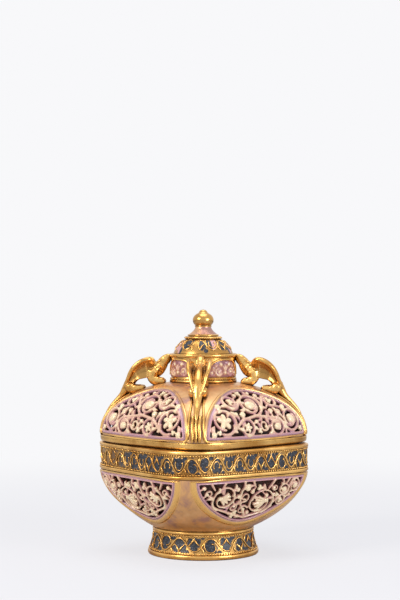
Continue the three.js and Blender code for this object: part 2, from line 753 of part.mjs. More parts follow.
// Stations of a wing: its leading edge and its root, each as [way out, height over the lid, and a share
// of the wings' spread]
const DRAGON_WING = [
  { edge: [0.25, 0.81, 0.41], root: [0.22, 0.46, 0.27] },
  { edge: [0.3, 0.99, 0.75], root: [0.275, 0.38, 0.34] },
  { edge: [0.4, 0.97, 1], root: [0.355, 0.36, 0.39] },
  { edge: [0.505, 0.86, 1], root: [0.44, 0.34, 0.39] },
  { edge: [0.595, 0.66, 0.82], root: [0.52, 0.29, 0.36] },
  { edge: [0.66, 0.44, 0.43], root: [0.6, 0.22, 0.27] },
];

// Place over the corner of the lid, before the dragon is turned to its corner
function overCorner(way, height, sideways) {
  const out = mix(DRUM_RING_RADIUS, LID_REACH, way);
  return new THREE.Vector3(out, sideways, lidBulge.cornerLevel(out) + height * DRUM_HEIGHT);
}

function limb(stations, sideways) {
  const middles = stations.map(([way, height]) => overCorner(way, height, sideways));
  const across = new THREE.Vector3(0, 1, 0);
  const rings = stations.map(([, , halfWidth, halfDepth], i) => {
    const before = middles[Math.max(i - 1, 0)];
    const after = middles[Math.min(i + 1, middles.length - 1)];
    const upwards = after.clone().sub(before).cross(across).normalize();
    return Array.from({ length: LIMB_SIDES }, (_, k) => {
      const angle = (k / LIMB_SIDES) * 2 * Math.PI;
      return middles[i]
        .clone()
        .addScaledVector(across, halfWidth * Math.cos(angle))
        .addScaledVector(upwards, halfDepth * Math.sin(angle));
    });
  });
  return toSolid(loft(rings, false));
}

function wing(hand) {
  const place = ([way, height, share]) => overCorner(way, height, share * WING_SPREAD * hand);
  const edges = DRAGON_WING.map(({ edge }) => place(edge));
  const roots = DRAGON_WING.map(({ root }) => place(root));
  const rings = edges.map((edge, i) => {
    const before = edges[Math.max(i - 1, 0)];
    const after = edges[Math.min(i + 1, edges.length - 1)];
    const chord = edge.clone().sub(roots[i]);
    const face = after.clone().sub(before).cross(chord).normalize().multiplyScalar(WING_THICKNESS / 2);
    return [
      edge.clone().add(face),
      edge.clone().sub(face),
      roots[i].clone().sub(face),
      roots[i].clone().add(face),
    ];
  });
  return toSolid(loft(rings, false));
}

// Dragon that serves as a handle: it stands on the lid's corner, with its snout at the drum's top ring
function dragonHandles() {
  let dragon = limb(DRAGON_SPINE, 0);
  for (const hand of [-1, 1]) {
    dragon = dragon.add(limb(DRAGON_FORELEG, hand * FORELEG_SPREAD));
    dragon = dragon.add(limb(DRAGON_HIND_LEG, hand * HIND_LEG_SPREAD));
    dragon = dragon.add(wing(hand));
  }
  const turnToAxis = -CORNERS[0].angle;
  const lidSkin = loft(lidBulge.rings(JOINT, 0, 1, WALL_MERIDIAN_STEPS), false).rotateZ(turnToAxis);
  const drumRadius = DRUM_RING_RADIUS + JOINT;
  const drumSkin = turned([
    [0, DRUM_Z - LID_RISE],
    [drumRadius, DRUM_Z - LID_RISE],
    [drumRadius, CAP_Z],
    [0, CAP_Z],
  ]);
  dragon = toGeometry(dragon.subtract(toSolid(lidSkin)).subtract(toSolid(drumSkin)));
  return CORNERS.map(({ name, angle }) =>
    piece(`dragon_handle_${name}`, dragon.clone().rotateZ(angle), gilding),
  );
}

const bowl = new THREE.Group();
bowl.add(foot(), bowlWall(), bowlBelt(), bowlLiner(), ...fretworks("bowl", BOWL_OPENING, BOWL_PATTERN));

const lid = new THREE.Group();
lid.add(lidRim(), lidWall(), lidLiner(), ...fretworks("lid", LID_OPENING, LID_PATTERN));
lid.add(drum(), ...drumPlaques(), cap(), finial(), ...dragonHandles());
lid.rotation.z = THREE.MathUtils.degToRad(LID_TURN_DEGREES);

const vase = new THREE.Group();
vase.add(bowl, lid);

export default vase;
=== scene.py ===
import math

import bmesh
import bpy
import numpy as np
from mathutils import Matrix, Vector, kdtree


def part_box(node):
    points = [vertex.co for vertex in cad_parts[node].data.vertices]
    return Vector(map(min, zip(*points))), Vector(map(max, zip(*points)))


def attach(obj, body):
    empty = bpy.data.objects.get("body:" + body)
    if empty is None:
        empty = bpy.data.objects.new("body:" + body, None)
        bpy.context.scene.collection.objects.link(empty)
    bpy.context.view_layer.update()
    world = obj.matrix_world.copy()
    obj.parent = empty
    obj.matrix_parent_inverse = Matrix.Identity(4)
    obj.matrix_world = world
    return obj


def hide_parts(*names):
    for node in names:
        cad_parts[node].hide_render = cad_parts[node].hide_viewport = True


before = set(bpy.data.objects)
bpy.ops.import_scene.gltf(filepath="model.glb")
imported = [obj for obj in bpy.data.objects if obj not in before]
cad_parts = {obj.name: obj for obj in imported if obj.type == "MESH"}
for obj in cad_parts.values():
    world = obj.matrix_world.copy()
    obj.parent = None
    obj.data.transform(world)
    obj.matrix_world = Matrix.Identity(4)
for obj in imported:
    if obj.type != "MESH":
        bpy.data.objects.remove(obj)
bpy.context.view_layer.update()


# The studio: a pale seamless floor, soft lamps at both sides and overhead, and a catalogue camera a little
# higher than the vase. Sizes in metres.
EYE_DISTANCE = 1.4
EYE_HEIGHT = 0.228
EYE_DEGREES = -35.5
EYE_SIDESTEP = 0.0029
FOCAL_PIXELS = 1547
FRAME_HEIGHT_PIXELS = 600
SENSOR_MM = 36
FLOOR_HALF = 3.0
FLOOR_PLAIN_RADIUS = 0.2
FLOOR_FADE_RADIUS = 0.9
FLOOR_GLOW_NEAR = 0.72
FLOOR_WHITE = "#D8D8DC"
FLOOR_GLOW = "#F8F8FC"
BACKDROP_WHITE = "#F8F8FA"
SOFT_LIGHT = "#F2F4FA"
SOFT_LIGHT_STRENGTH = 0.42
LAMP_AIM = Vector((0, 0, 0.1))
# Each lamp: name, metres out towards the camera, metres to its right, height, size, power, colour
LAMPS = [
    ("key_lamp", 0.75, -0.95, 0.8, 0.5, 10.0, "#FFF8F0"),
    ("fill_lamp", 0.85, 1.0, 0.45, 0.5, 8.4, "#F8F8FF"),
    ("overhead_lamp", -0.1, 0.0, 1.5, 0.9, 7.6, "#FFFFFF"),
]


def linear(code):
    """An sRGB hex colour as linear RGBA."""
    parts = [int(code[i : i + 2], 16) / 255 for i in (1, 3, 5)]
    return [c / 12.92 if c <= 0.04045 else ((c + 0.055) / 1.055) ** 2.4 for c in parts] + [1.0]


def node(tree, kind, inputs=(), stops=(), out=0, **settings):
    """Adds a node with its settings, its sockets' values or links and a ramp's stops; gives one output."""
    made = tree.nodes.new(kind)
    for key, value in settings.items():
        setattr(made, key, value)
    for socket, value in dict(inputs).items():
        if isinstance(value, bpy.types.NodeSocket):
            tree.links.new(value, made.inputs[socket])
        else:
            made.inputs[socket].default_value = value
    for i, (place, colour) in enumerate(stops):
        elements = made.color_ramp.elements
        stop = elements[i] if i < 2 else elements.new(place)
        stop.position = place
        stop.color = linear(colour) if isinstance(colour, str) else [colour] * 3 + [1.0]
    return made.outputs[out] if made.outputs else made


def emptied(made):
    """A new material or world, and its node tree without any node."""
    made.use_nodes = True
    made.node_tree.nodes.clear()
    return made, made.node_tree


def set_up(name, data):
    """A new object in the scene."""
    made = bpy.data.objects.new(name, data)
    bpy.context.scene.collection.objects.link(made)
    return made


floor_finish, tree = emptied(bpy.data.materials.new("matt_paper_floor"))
place = node(tree, "ShaderNodeTexCoord", out="Object")
reach = node(tree, "ShaderNodeVectorMath", {0: place}, out="Value", operation="LENGTH")
plain_zone = {"Value": reach, "From Min": FLOOR_PLAIN_RADIUS, "From Max": FLOOR_FADE_RADIUS}
fade = node(tree, "ShaderNodeMapRange", plain_zone, interpolation_type="SMOOTHSTEP")
from_eye = node(tree, "ShaderNodeLightPath", out="Is Camera Ray")
glow = node(tree, "ShaderNodeMapRange", {"Value": fade, "To Min": FLOOR_GLOW_NEAR, "To Max": 1.0})
seen = node(tree, "ShaderNodeMath", {0: glow, 1: from_eye}, operation="MULTIPLY")
whites = {0: fade, 6: linear(FLOOR_GLOW), 7: linear(BACKDROP_WHITE)}
tint = node(tree, "ShaderNodeMix", whites, out=2, data_type="RGBA")
paper = node(tree, "ShaderNodeBsdfDiffuse", {"Color": linear(FLOOR_WHITE)})
bright = node(tree, "ShaderNodeEmission", {"Color": tint})
both = node(tree, "ShaderNodeMixShader", {0: seen, 1: paper, 2: bright})
node(tree, "ShaderNodeOutputMaterial", {"Surface": both})

floor_mesh = bpy.data.meshes.new("floor")
corners = [(-1, -1, 0), (1, -1, 0), (1, 1, 0), (-1, 1, 0)]
floor_mesh.from_pydata([Vector(corner) * FLOOR_HALF for corner in corners], [], [(0, 1, 2, 3)])
floor_mesh.materials.append(floor_finish)
set_up("floor", floor_mesh)

world, tree = emptied(bpy.data.worlds.new("white_studio"))
bpy.context.scene.world = world
ray = node(tree, "ShaderNodeLightPath").node.outputs
mirrored = {0: ray["Is Glossy Ray"], 1: ray["Is Transmission Ray"]}
mirrored = node(tree, "ShaderNodeMath", mirrored, operation="MAXIMUM")
shown = node(tree, "ShaderNodeMath", {0: ray["Is Camera Ray"], 1: mirrored}, operation="MAXIMUM")
soft = {"Color": linear(SOFT_LIGHT), "Strength": SOFT_LIGHT_STRENGTH}
soft_light = node(tree, "ShaderNodeBackground", soft)
backdrop = node(tree, "ShaderNodeBackground", {"Color": linear(BACKDROP_WHITE), "Strength": 1.0})
both = node(tree, "ShaderNodeMixShader", {0: shown, 1: soft_light, 2: backdrop})
node(tree, "ShaderNodeOutputWorld", {"Surface": both})

towards = math.radians(EYE_DEGREES)
eye_out = Vector((math.cos(towards), math.sin(towards), 0))
eye_right = Vector((-math.sin(towards), math.cos(towards), 0))
camera_data = bpy.data.cameras.new("camera")
camera_data.sensor_fit = "VERTICAL"
camera_data.sensor_height = SENSOR_MM
camera_data.lens = FOCAL_PIXELS / FRAME_HEIGHT_PIXELS * SENSOR_MM
camera = set_up("camera", camera_data)
camera.location = EYE_DISTANCE * eye_out - EYE_SIDESTEP * eye_right + Vector((0, 0, EYE_HEIGHT))
camera.rotation_euler = (-eye_out).to_track_quat("-Z", "Y").to_euler()
bpy.context.scene.camera = camera

for name, out, right, height, size, power, colour in LAMPS:
    lamp_data = bpy.data.lights.new(name, "AREA")
    lamp_data.size = size
    lamp_data.energy = power
    lamp_data.color = linear(colour)[:3]
    lamp = set_up(name, lamp_data)
    lamp.location = out * eye_out + right * eye_right + Vector((0, 0, height))
    lamp.rotation_euler = (LAMP_AIM - lamp.location).to_track_quat("-Z", "Y").to_euler()
bpy.context.scene.view_settings.view_transform = "Standard"


# Foot: a thrown stoneware ring, flared and gilt over its glaze, with a rounded lip and a collar. Between
# two rows of beads runs a vine in raised slip round fields of slate enamel. It is luted under the bowl.
# From here on sizes are in millimetres.
MM = 0.001
FOOT_RADIUS = 50.0
FOOT_NECK_RADIUS = 44.6
FOOT_WALL = 6.5
FOOT_LIP_HEIGHT = 4.5
FOOT_COLLAR_HEIGHT = 2.8
FOOT_FLARE = 3.4
FOOT_ARCHES = 20
FOOT_STEPS = 720
CIRCLE_STEPS = 120
CREASE_DEGREES = 38
WELD_REACH = 0.02
BEAD_ZONE = 1.6
# The real beads stand about 1.7 mm apart; they are drawn a little coarser, so that they show
BEADS = {"Radius": 0.9 * MM, "Pitch": 2.4 * MM}
VINE_THICKNESS = 0.62
VINE_STEPS = 16
ARCH_SHARE = 0.8
BAND_SUNK = 0.5
# Pale gold of the clouds, partly painted reflection
GOLD_PALE_AND_PAINTED_REFLECTION = "#F0C073"
GOLD_BODY = "#BF8A45"
# Browner gold of unpolished grounds, also painted shade on the dragons' wing membranes
GOLD_UNPOLISHED_AND_PAINTED_SHADE = "#8E6636"
# Brown of the painted shade in the hollows of the gilding, the enamel and the lustre
GOLD_PAINTED_SHADE = "#5E3C16"
ENAMEL_SLATE = "#272D38"
ENAMEL_DARK = "#0D1017"
ENAMEL_PALE = "#8D95A8"
ENAMEL_ROSE = "#D6A3AC"


def levels(part):
    """Heights of a CAD part's foot and top in millimetres."""
    return [corner.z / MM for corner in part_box(part)]


def full_turn(steps):
    """Angles of a full turn in equal steps."""
    return np.arange(steps) / steps * 2 * math.pi


def polar(radius, angle, z):
    """Points from radius, angle and height."""
    radius, angle, z = np.broadcast_arrays(radius, angle, z)
    return np.stack([radius * np.cos(angle), radius * np.sin(angle), z], -1)


def plan_share(angle, squareness):
    """Plan of the body: 1 at a corner and less at the middle of a side, down to a circle at squareness 2."""
    across = np.abs(np.cos(angle)) ** squareness + np.abs(np.sin(angle)) ** squareness
    return across ** (-1 / squareness) / 2 ** (0.5 - 1 / squareness)


def level_ring(reach, z, squareness=2, steps=CIRCLE_STEPS):
    """Points of one level ring, round or square with round corners."""
    angle = full_turn(steps)
    return polar(reach * plan_share(angle, squareness), angle, z)


def skin_over(rings, looped=True):
    """Points and faces of a skin over a row of equal rings; an open row ends in a fan at each end."""
    rows, around = len(rings), len(rings[0])
    r, c = np.meshgrid(np.arange(rows if looped else rows - 1), np.arange(around), indexing="ij")
    up, along = (r + 1) % rows * around, (c + 1) % around
    faces = np.stack([r * around + c, r * around + along, up + along, up + c], -1).reshape(-1, 4).tolist()
    points = np.concatenate(rings)
    if not looped:
        last = (rows - 1) * around
        points = np.concatenate([points, [rings[0].mean(0), rings[-1].mean(0)]])
        faces += [(len(points) - 2, (i + 1) % around, i) for i in range(around)]
        faces += [(len(points) - 1, last + i, last + (i + 1) % around) for i in range(around)]
    return points, faces


def turned(profile, steps, squareness=2, looped=True):
    """Shell of a profile of (reach, height) that runs up the outside; a looped one closes on itself."""
    return skin_over([level_ring(reach, z, squareness, steps) for reach, z in profile], looped)


def roll(radius, low, high, swell, steps=7):
    """Profile points of a rounded moulding between two heights."""
    turn = np.linspace(0, math.pi, steps)
    return [*zip(radius + swell * np.sin(turn) ** 0.6, low + (high - low) * (0.5 - 0.5 * np.cos(turn)))]


def fit(made, body, slot, *stands_for):
    """Fixes a piece to its body and hides the CAD nodes that it stands for. The slot, which names the
    finish that it takes, is not used.
    """
    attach(made, body)
    if stands_for:
        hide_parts(*stands_for)


def cast(name, shell, finishes, fitting, shares=(), crease=CREASE_DEGREES, weld=False, finish_of_face=None):
    """A smooth piece from points in millimetres and faces, with creases where faces meet at more than an
    angle. Fitting is its body, its slot and the CAD nodes that it stands for. Shares are values of each
    point for its finish. A weld joins points that lie together and turns the faces out."""
    points, faces = shell
    faces = faces if isinstance(faces, list) else faces.tolist()
    mesh = bpy.data.meshes.new(name)
    mesh.from_pydata((np.asarray(points, float) * MM).tolist(), [], faces)
    for finish in finishes:
        mesh.materials.append(finish)
    if finish_of_face is not None:
        mesh.polygons.foreach_set("material_index", np.asarray(finish_of_face, np.int32))
    mesh.polygons.foreach_set("use_smooth", np.ones(len(mesh.polygons), bool))
    for key, values in dict(shares).items():
        mesh.attributes.new(key, "FLOAT", "POINT").data.foreach_set("value", np.asarray(values, np.float32))
    if weld:
        work = bmesh.new()
        work.from_mesh(mesh)
        bmesh.ops.remove_doubles(work, verts=work.verts, dist=WELD_REACH * MM)
        bmesh.ops.recalc_face_normals(work, faces=work.faces)
        work.to_mesh(mesh)
        work.free()
    mesh.set_sharp_from_angle(angle=math.radians(crease))
    mesh.update()
    fit(set_up(name, mesh), *fitting)


def gold_leaf(tree, place):
    """Gold in soft clouds, whose paler patches are partly painted reflection. It is browner where the share
    named sunk says: on grounds left unpolished, and as painted shade on the dragons' wing membranes.
    """
    cloud = node(tree, "ShaderNodeTexNoise", {"Vector": place, "Scale": 45.0, "Detail": 3.0})
    gold = node(tree, "ShaderNodeValToRGB", {0: cloud}, [(0.34, GOLD_BODY), (0.66, GOLD_PALE_AND_PAINTED_REFLECTION)])
    low = node(tree, "ShaderNodeAttribute", out="Fac", attribute_name="sunk")
    return node(tree, "ShaderNodeMix", {0: low, 6: gold, 7: linear(GOLD_UNPOLISHED_AND_PAINTED_SHADE)}, out=2, data_type="RGBA")


def finished_with_painted_shade(tree, finish, painted_shade, grain, sockets):
    """Ends a material, and darkens its hollows as painted shade. The shade is given as its colour, its reach
    in millimetres, and how open a place is where the shade starts to clear and where it is gone. Grain is a
    height, its strength and its depth in millimetres."""
    colour, reach, thick, shade_gone = painted_shade
    height, strength, depth = grain
    openness = node(tree, "ShaderNodeAmbientOcclusion", {"Distance": reach * MM}, out="AO", samples=6)
    unshaded_share = node(tree, "ShaderNodeValToRGB", {0: openness}, [(thick, 0.0), (shade_gone, 1.0)])
    shaded_colour = node(tree, "ShaderNodeMix", {0: unshaded_share, 6: linear(colour), 7: finish}, out=2, data_type="RGBA")
    waver = node(tree, "ShaderNodeBump", {"Height": height, "Strength": strength, "Distance": depth * MM})
    surface = node(tree, "ShaderNodeBsdfPrincipled", {"Base Color": shaded_colour, "Normal": waver, **sockets})
    node(tree, "ShaderNodeOutputMaterial", {"Surface": surface})


# Burnished gilding fired over the glaze: a true metal surface, worn a little thin on its high places,
# with brown painted shade in its hollows and the soft waver of hand-brushed gold
gilding, tree = emptied(bpy.data.materials.new("burnished_gilding"))
place = node(tree, "ShaderNodeTexCoord", out="Object")
strokes = {"Vector": place, "Scale": 190.0, "Detail": 3.0, "Roughness": 0.6}
brushing = node(tree, "ShaderNodeTexNoise", strokes)
wear = {"Value": brushing, "From Min": 0.3, "From Max": 0.7, "To Min": 0.16, "To Max": 0.32}
metal = {"Metallic": 1.0, "Roughness": node(tree, "ShaderNodeMapRange", wear)}
finished_with_painted_shade(tree, gold_leaf(tree, place), (GOLD_PAINTED_SHADE, 6.0, 0.25, 0.85), (brushing, 0.28, 0.35), metal)

# Slate enamel, dabbed on with a stiff brush between gilded lines of slip. The share named enamel says
# where it lies, the share named rose where the cap's pink fields lie, and the rest is gilding.
enamelled, tree = emptied(bpy.data.materials.new("slate_enamel_on_gilding"))
place = node(tree, "ShaderNodeTexCoord", out="Object")
slate, pink = [
    node(tree, "ShaderNodeAttribute", out="Fac", attribute_name=share) for share in ("enamel", "rose")
]
dabs = node(tree, "ShaderNodeTexVoronoi", {"Vector": place, "Scale": 1 / (1.3 * MM)})
fine = node(tree, "ShaderNodeTexNoise", {"Vector": place, "Scale": 420.0, "Detail": 3.0})
ground = node(tree, "ShaderNodeValToRGB", {0: fine}, [(0.4, ENAMEL_DARK), (0.62, ENAMEL_SLATE)])
fleck = node(tree, "ShaderNodeValToRGB", {0: dabs}, [(0.1, 0.5), (0.34, 0.0)])
dabbed = node(tree, "ShaderNodeMix", {0: fleck, 6: ground, 7: linear(ENAMEL_PALE)}, out=2, data_type="RGBA")
fields = {0: slate, 6: gold_leaf(tree, place), 7: dabbed}
fields = {0: pink, 6: node(tree, "ShaderNodeMix", fields, out=2, data_type="RGBA"), 7: linear(ENAMEL_ROSE)}
fields = node(tree, "ShaderNodeMix", fields, out=2, data_type="RGBA")
glazed = node(tree, "ShaderNodeMath", {0: slate, 1: pink}, operation="MAXIMUM")
metal = node(tree, "ShaderNodeMapRange", {"Value": glazed, "To Min": 1.0, "To Max": 0.0})
rough = node(tree, "ShaderNodeMapRange", {"Value": glazed, "To Min": 0.3, "To Max": 0.4})
grain = node(tree, "ShaderNodeMath", {0: dabs, 1: slate}, operation="MULTIPLY")
sockets = {"Metallic": metal, "Roughness": rough}
# Its hollows are darkened in brown as painted shade
finished_with_painted_shade(tree, fields, (GOLD_PAINTED_SHADE, 1.6, 0.3, 0.85), (grain, 0.6, 0.25), sockets)


def growing_tree(name, **sockets):
    """Geometry nodes that grow something along lines, with named inputs for its sizes and its finish."""
    made = bpy.data.node_groups.new(name, "GeometryNodeTree")
    inputs = {"Lines": "NodeSocketGeometry", **sockets, "Finish": "NodeSocketMaterial"}
    for key, kind in inputs.items():
        made.interface.new_socket(name=key, in_out="INPUT", socket_type=kind)
    made.interface.new_socket(name="Made", in_out="OUTPUT", socket_type="NodeSocketGeometry")
    given = node(made, "NodeGroupInput").node.outputs
    return made, given, node(made, "GeometryNodeMeshToCurve", {0: given["Lines"]})


def finished(made, given, grown_part):
    """Ends a growing tree in plain, smooth mesh with its finish."""
    real = node(made, "GeometryNodeRealizeInstances", {0: grown_part})
    smooth = node(made, "GeometryNodeSetShadeSmooth", {0: real})
    dressed = node(made, "GeometryNodeSetMaterial", {0: smooth, 2: given["Finish"]})
    node(made, "NodeGroupOutput", {0: dressed})
    return made


# Beads of slip, set along a line at a pitch
made, given, curves = growing_tree("bead_row", Pitch="NodeSocketFloat", Radius="NodeSocketFloat")
evenly = node(made, "GeometryNodeResampleCurve", {0: curves, 3: given["Pitch"]}, mode="LENGTH")
bead = node(made, "GeometryNodeMeshUVSphere", {0: 8, 1: 5, 2: given["Radius"]})
bead_row = finished(made, given, node(made, "GeometryNodeInstanceOnPoints", {0: evenly, 2: bead}))

# Lines of raised slip, trailed on from a horn; the share named thick is their half width
made, given, curves = growing_tree("trailed_slip", Sides="NodeSocketInt")
thick = node(made, "GeometryNodeInputNamedAttribute", {0: "thick"}, data_type="FLOAT")
nozzle = node(made, "GeometryNodeCurvePrimitiveCircle", {0: given["Sides"], 4: 1.0})
trail = node(made, "GeometryNodeCurveToMesh", {0: curves, 1: nozzle, 2: thick, 3: True})
trailed_slip = finished(made, given, trail)


def taken_off(guide):
    """The plain mesh that an object's modifiers make of it; the object itself goes."""
    plain = bpy.data.meshes.new_from_object(guide.evaluated_get(bpy.context.evaluated_depsgraph_get()))
    bpy.data.objects.remove(guide)
    return plain


def grown(name, body, growth, lines, **sizes):
    """Grows gilt beads or slip along lines of (points, closed, half width)."""
    points = np.concatenate([line for line, _, _ in lines])
    thick = np.concatenate([np.broadcast_to(width, len(line)) for line, _, width in lines])
    edges, start = [], 0
    for line, closed, _ in lines:
        run = [*range(start, start + len(line)), *[start] * closed]
        edges += zip(run, run[1:])
        start += len(line)
    mesh = bpy.data.meshes.new(name)
    mesh.from_pydata((points * MM).tolist(), edges, [])
    mesh.attributes.new("thick", "FLOAT", "POINT").data.foreach_set("value", (thick * MM).astype(np.float32))
    guide = set_up("guide", mesh)
    growing = guide.modifiers.new("growing", "NODES")
    growing.node_group = growth
    sizes["Finish"] = gilding
    for socket in growth.interface.items_tree:
        if socket.in_out == "INPUT" and socket.name in sizes:
            growing[socket.identifier] = sizes[socket.name]
    plain = taken_off(guide)
    plain.name = name
    fit(set_up(name, plain), body, "gilding")


def uneven(k, start=0.0):
    """A share from 0 to 1 that jumps from field to field, as hand work does."""
    return np.mod(np.sin(k * 12.9898 + start) * 43758.5453, 1)


def vine(length, arches, high):
    """Running vine for a band, as flat lines of (along, height) with half widths: a wave that arches over
    each field in turn, with a tendril, a hook or a fork of two leaves in the field."""
    step = length / arches
    along = np.linspace(0, length, arches * VINE_STEPS, endpoint=False)
    sway = np.sin(math.pi * along / step)
    reach = 0.92 + 0.16 * uneven(np.floor(along / step))
    wave = np.column_stack([along, high * np.sign(sway) * np.abs(sway) ** 0.85 * reach])
    lines = [(wave, True, VINE_THICKNESS)]
    share, short = np.linspace(0, 1, 22), np.linspace(0, 1, 7)
    for k in range(arches):
        side = 1 if k % 2 == 0 else -1
        size = 0.86 + 0.22 * uneven(k, 2.0)
        middle = np.array([(k + 0.42 + 0.16 * uneven(k, 1.0)) * step, -0.12 * high * side])
        kind = uneven(k, 5.0)
        if kind < 0.7:
            if kind < 0.4:
                turn = np.radians(152 + 250 * share)
                ring = size * np.interp(share, [0, 0.7, 0.85, 1], [1.0, 1.0, 0.78, 0.45])
                path = np.column_stack([np.cos(turn) * step * 0.4, side * np.sin(turn) * high * 1.1])
                path, width = path * ring[:, None], 0.95 - 0.35 * share
            else:
                turn = np.radians(215 - 235 * share)
                path = np.column_stack([np.cos(turn) * step * 0.27, side * np.sin(turn) * high * 0.72])
                path, width = path * size, 0.95 - 0.3 * share
            lines.append((middle + path, False, VINE_THICKNESS * width))
            berry = middle + path[-1] + [[0, -0.7], [0, -0.35], [0, 0], [0, 0.35], [0, 0.7]]
            lines.append((berry, False, [0.2, 0.85, 1.05, 0.85, 0.2]))
        else:
            for hand in (-1, 1):
                path = np.column_stack([hand * step * 0.3 * share**1.6, side * high * (1.15 * share - 1.0)])
                width = 0.6 + 0.75 * np.sin(math.pi * share) ** 2
                lines.append((middle + path * size, False, VINE_THICKNESS * width))
        leaf = np.column_stack([(short - 0.5) * step * 0.16, side * high * (0.3 + 0.9 * short)])
        width = np.sin(math.pi * np.linspace(0.08, 0.95, 7)) * 0.95
        lines.append((leaf + [(k + 1) * step, 0.0], False, width))
    return lines


def vine_round(name, body, bend, band):
    """Trails the vine of a band on to a piece; bend lays its flat lines on the piece."""
    lines = [(bend(line), closed, width) for line, closed, width in vine(*band)]
    grown(name, body, trailed_slip, lines, Sides=7)


def enamel_share(along, height, length, arches, high):
    """1 on the leaf-shaped fields under the arches of the vine and 0 on the gold round them."""
    step = length / arches
    k = np.floor(along / step)
    side = np.where(k % 2 == 0, 1.0, -1.0)
    half = step * (0.36 + 0.1 * uneven(k))
    x = (along - (k + 0.44 + 0.12 * uneven(k, 1.0)) * step) / half
    y = (height * side + 0.16 * high) / (high * 1.16)
    turn = np.arctan2(y, x)
    lobes = 0.98 + 0.17 * np.cos(3 * (turn - math.pi / 2) + 0.7 * (uneven(k, 3.0) - 0.5))
    lobes = lobes + 0.08 * np.sin(7 * turn + k * 2.9) + 0.05 * np.sin(11 * turn + k * 1.3)
    broad = (lobes - np.hypot(x, y)) * half
    knot = np.round(along / step)
    reach = 0.13 + 0.12 * uneven(knot, 4.0)
    x = (along - knot * step) / (step * reach)
    y = (height + np.where(knot % 2 == 0, -1.2, 1.2) * high) / (high * 2.4 * reach)
    small = (1 - np.hypot(x, y)) * step * reach
    return np.clip(np.maximum(broad, small) / 0.4 + 0.5, 0, 1)


foot_high = levels("bowl_wall")[0]
lip_top = FOOT_LIP_HEIGHT + 0.1
band_low = lip_top + BEAD_ZONE
collar_low = foot_high - FOOT_COLLAR_HEIGHT - 0.4
band_high = collar_low - BEAD_ZONE
band_middle = (band_low + band_high) / 2
foot_band = (2 * math.pi * FOOT_NECK_RADIUS, FOOT_ARCHES, (band_high - band_low) / 2 * ARCH_SHARE)
foot_inner_top = FOOT_NECK_RADIUS - FOOT_WALL


def foot_flare(z):
    """Radius of the foot's flare at a height."""
    share = np.clip((z - band_low) / (band_high - band_low), 0, 1)
    return FOOT_NECK_RADIUS + 0.1 + FOOT_FLARE * (1 - share) ** 1.9


def round_foot(line, stand=0.3):
    """Bends a flat line round the foot's flare."""
    z = band_middle + line[:, 1]
    return polar(foot_flare(z) + stand, line[:, 0] / FOOT_NECK_RADIUS, z)


flare_z = np.linspace(band_low, band_high, 30)
foot_profile = [
    (FOOT_RADIUS - FOOT_WALL, 0),
    (FOOT_RADIUS - 1.6, 0),
    *roll(FOOT_RADIUS - 1.4, 0.1, FOOT_LIP_HEIGHT, 1.4, 11),
    (foot_flare(band_low) + 0.35, lip_top),
    *zip(foot_flare(flare_z), flare_z),
    (FOOT_NECK_RADIUS + 0.1, collar_low - 0.1),
    *roll(FOOT_NECK_RADIUS, collar_low, foot_high - 0.4, 1.2, 9),
    (FOOT_NECK_RADIUS - 0.1, foot_high),
    (foot_inner_top, foot_high),
    (foot_inner_top, foot_high / 2),
]
shell = turned(foot_profile, FOOT_STEPS)
x, y, z = shell[0].T
along = np.mod(np.arctan2(y, x), 2 * math.pi) * FOOT_NECK_RADIUS
on_band = (z > band_low) & (z < band_high) & (np.hypot(x, y) > FOOT_NECK_RADIUS - 1)
shares = {"enamel": enamel_share(along, z - band_middle, *foot_band) * on_band, "sunk": BAND_SUNK * on_band}
cast("foot_ring", shell, [enamelled], ("bowl", "gilding", "foot"), shares)
vine_round("foot_vine", "bowl", round_foot, foot_band)
lines = [
    (level_ring(foot_flare(band_low) + 0.2, lip_top + BEAD_ZONE / 2), True, 1.0),
    (level_ring(FOOT_NECK_RADIUS + 0.15, collar_low - BEAD_ZONE / 2), True, 1.0),
]
grown("foot_beads", "bowl", bead_row, lines, **BEADS)


# Inner bowl: the plain wall and floor that hold the contents, thrown on its own and set inside the
# pierced one. It is glazed dark brown, so it is what shows behind the piercings.
BODY_REACH = 94.0
SQUARENESS = 4.3
SQUARE_SHARE = 0.8
BOWL_FULLNESS = 1.75
OUTER_WALL = 4.2
CAVITY = 4.6
INNER_WALL = 3.4
BOWL_FLOOR = 5.0
BELT_WALL = 7.4
JOINT = 0.3
LINER_SHOULDER_SHARE = 0.08
LINER_CREASE = 50
BODY_STEPS = 256
TABLE_ROWS = 121
TABLE_COLUMNS = 181
HALVINGS = 26
BROWN_GLAZE = "#3A2016"
BROWN_GLAZE_LIGHT = "#5C3521"
bowl_z, bowl_top_z = levels("bowl_wall")
belt_z, seam_z = levels("bowl_belt")


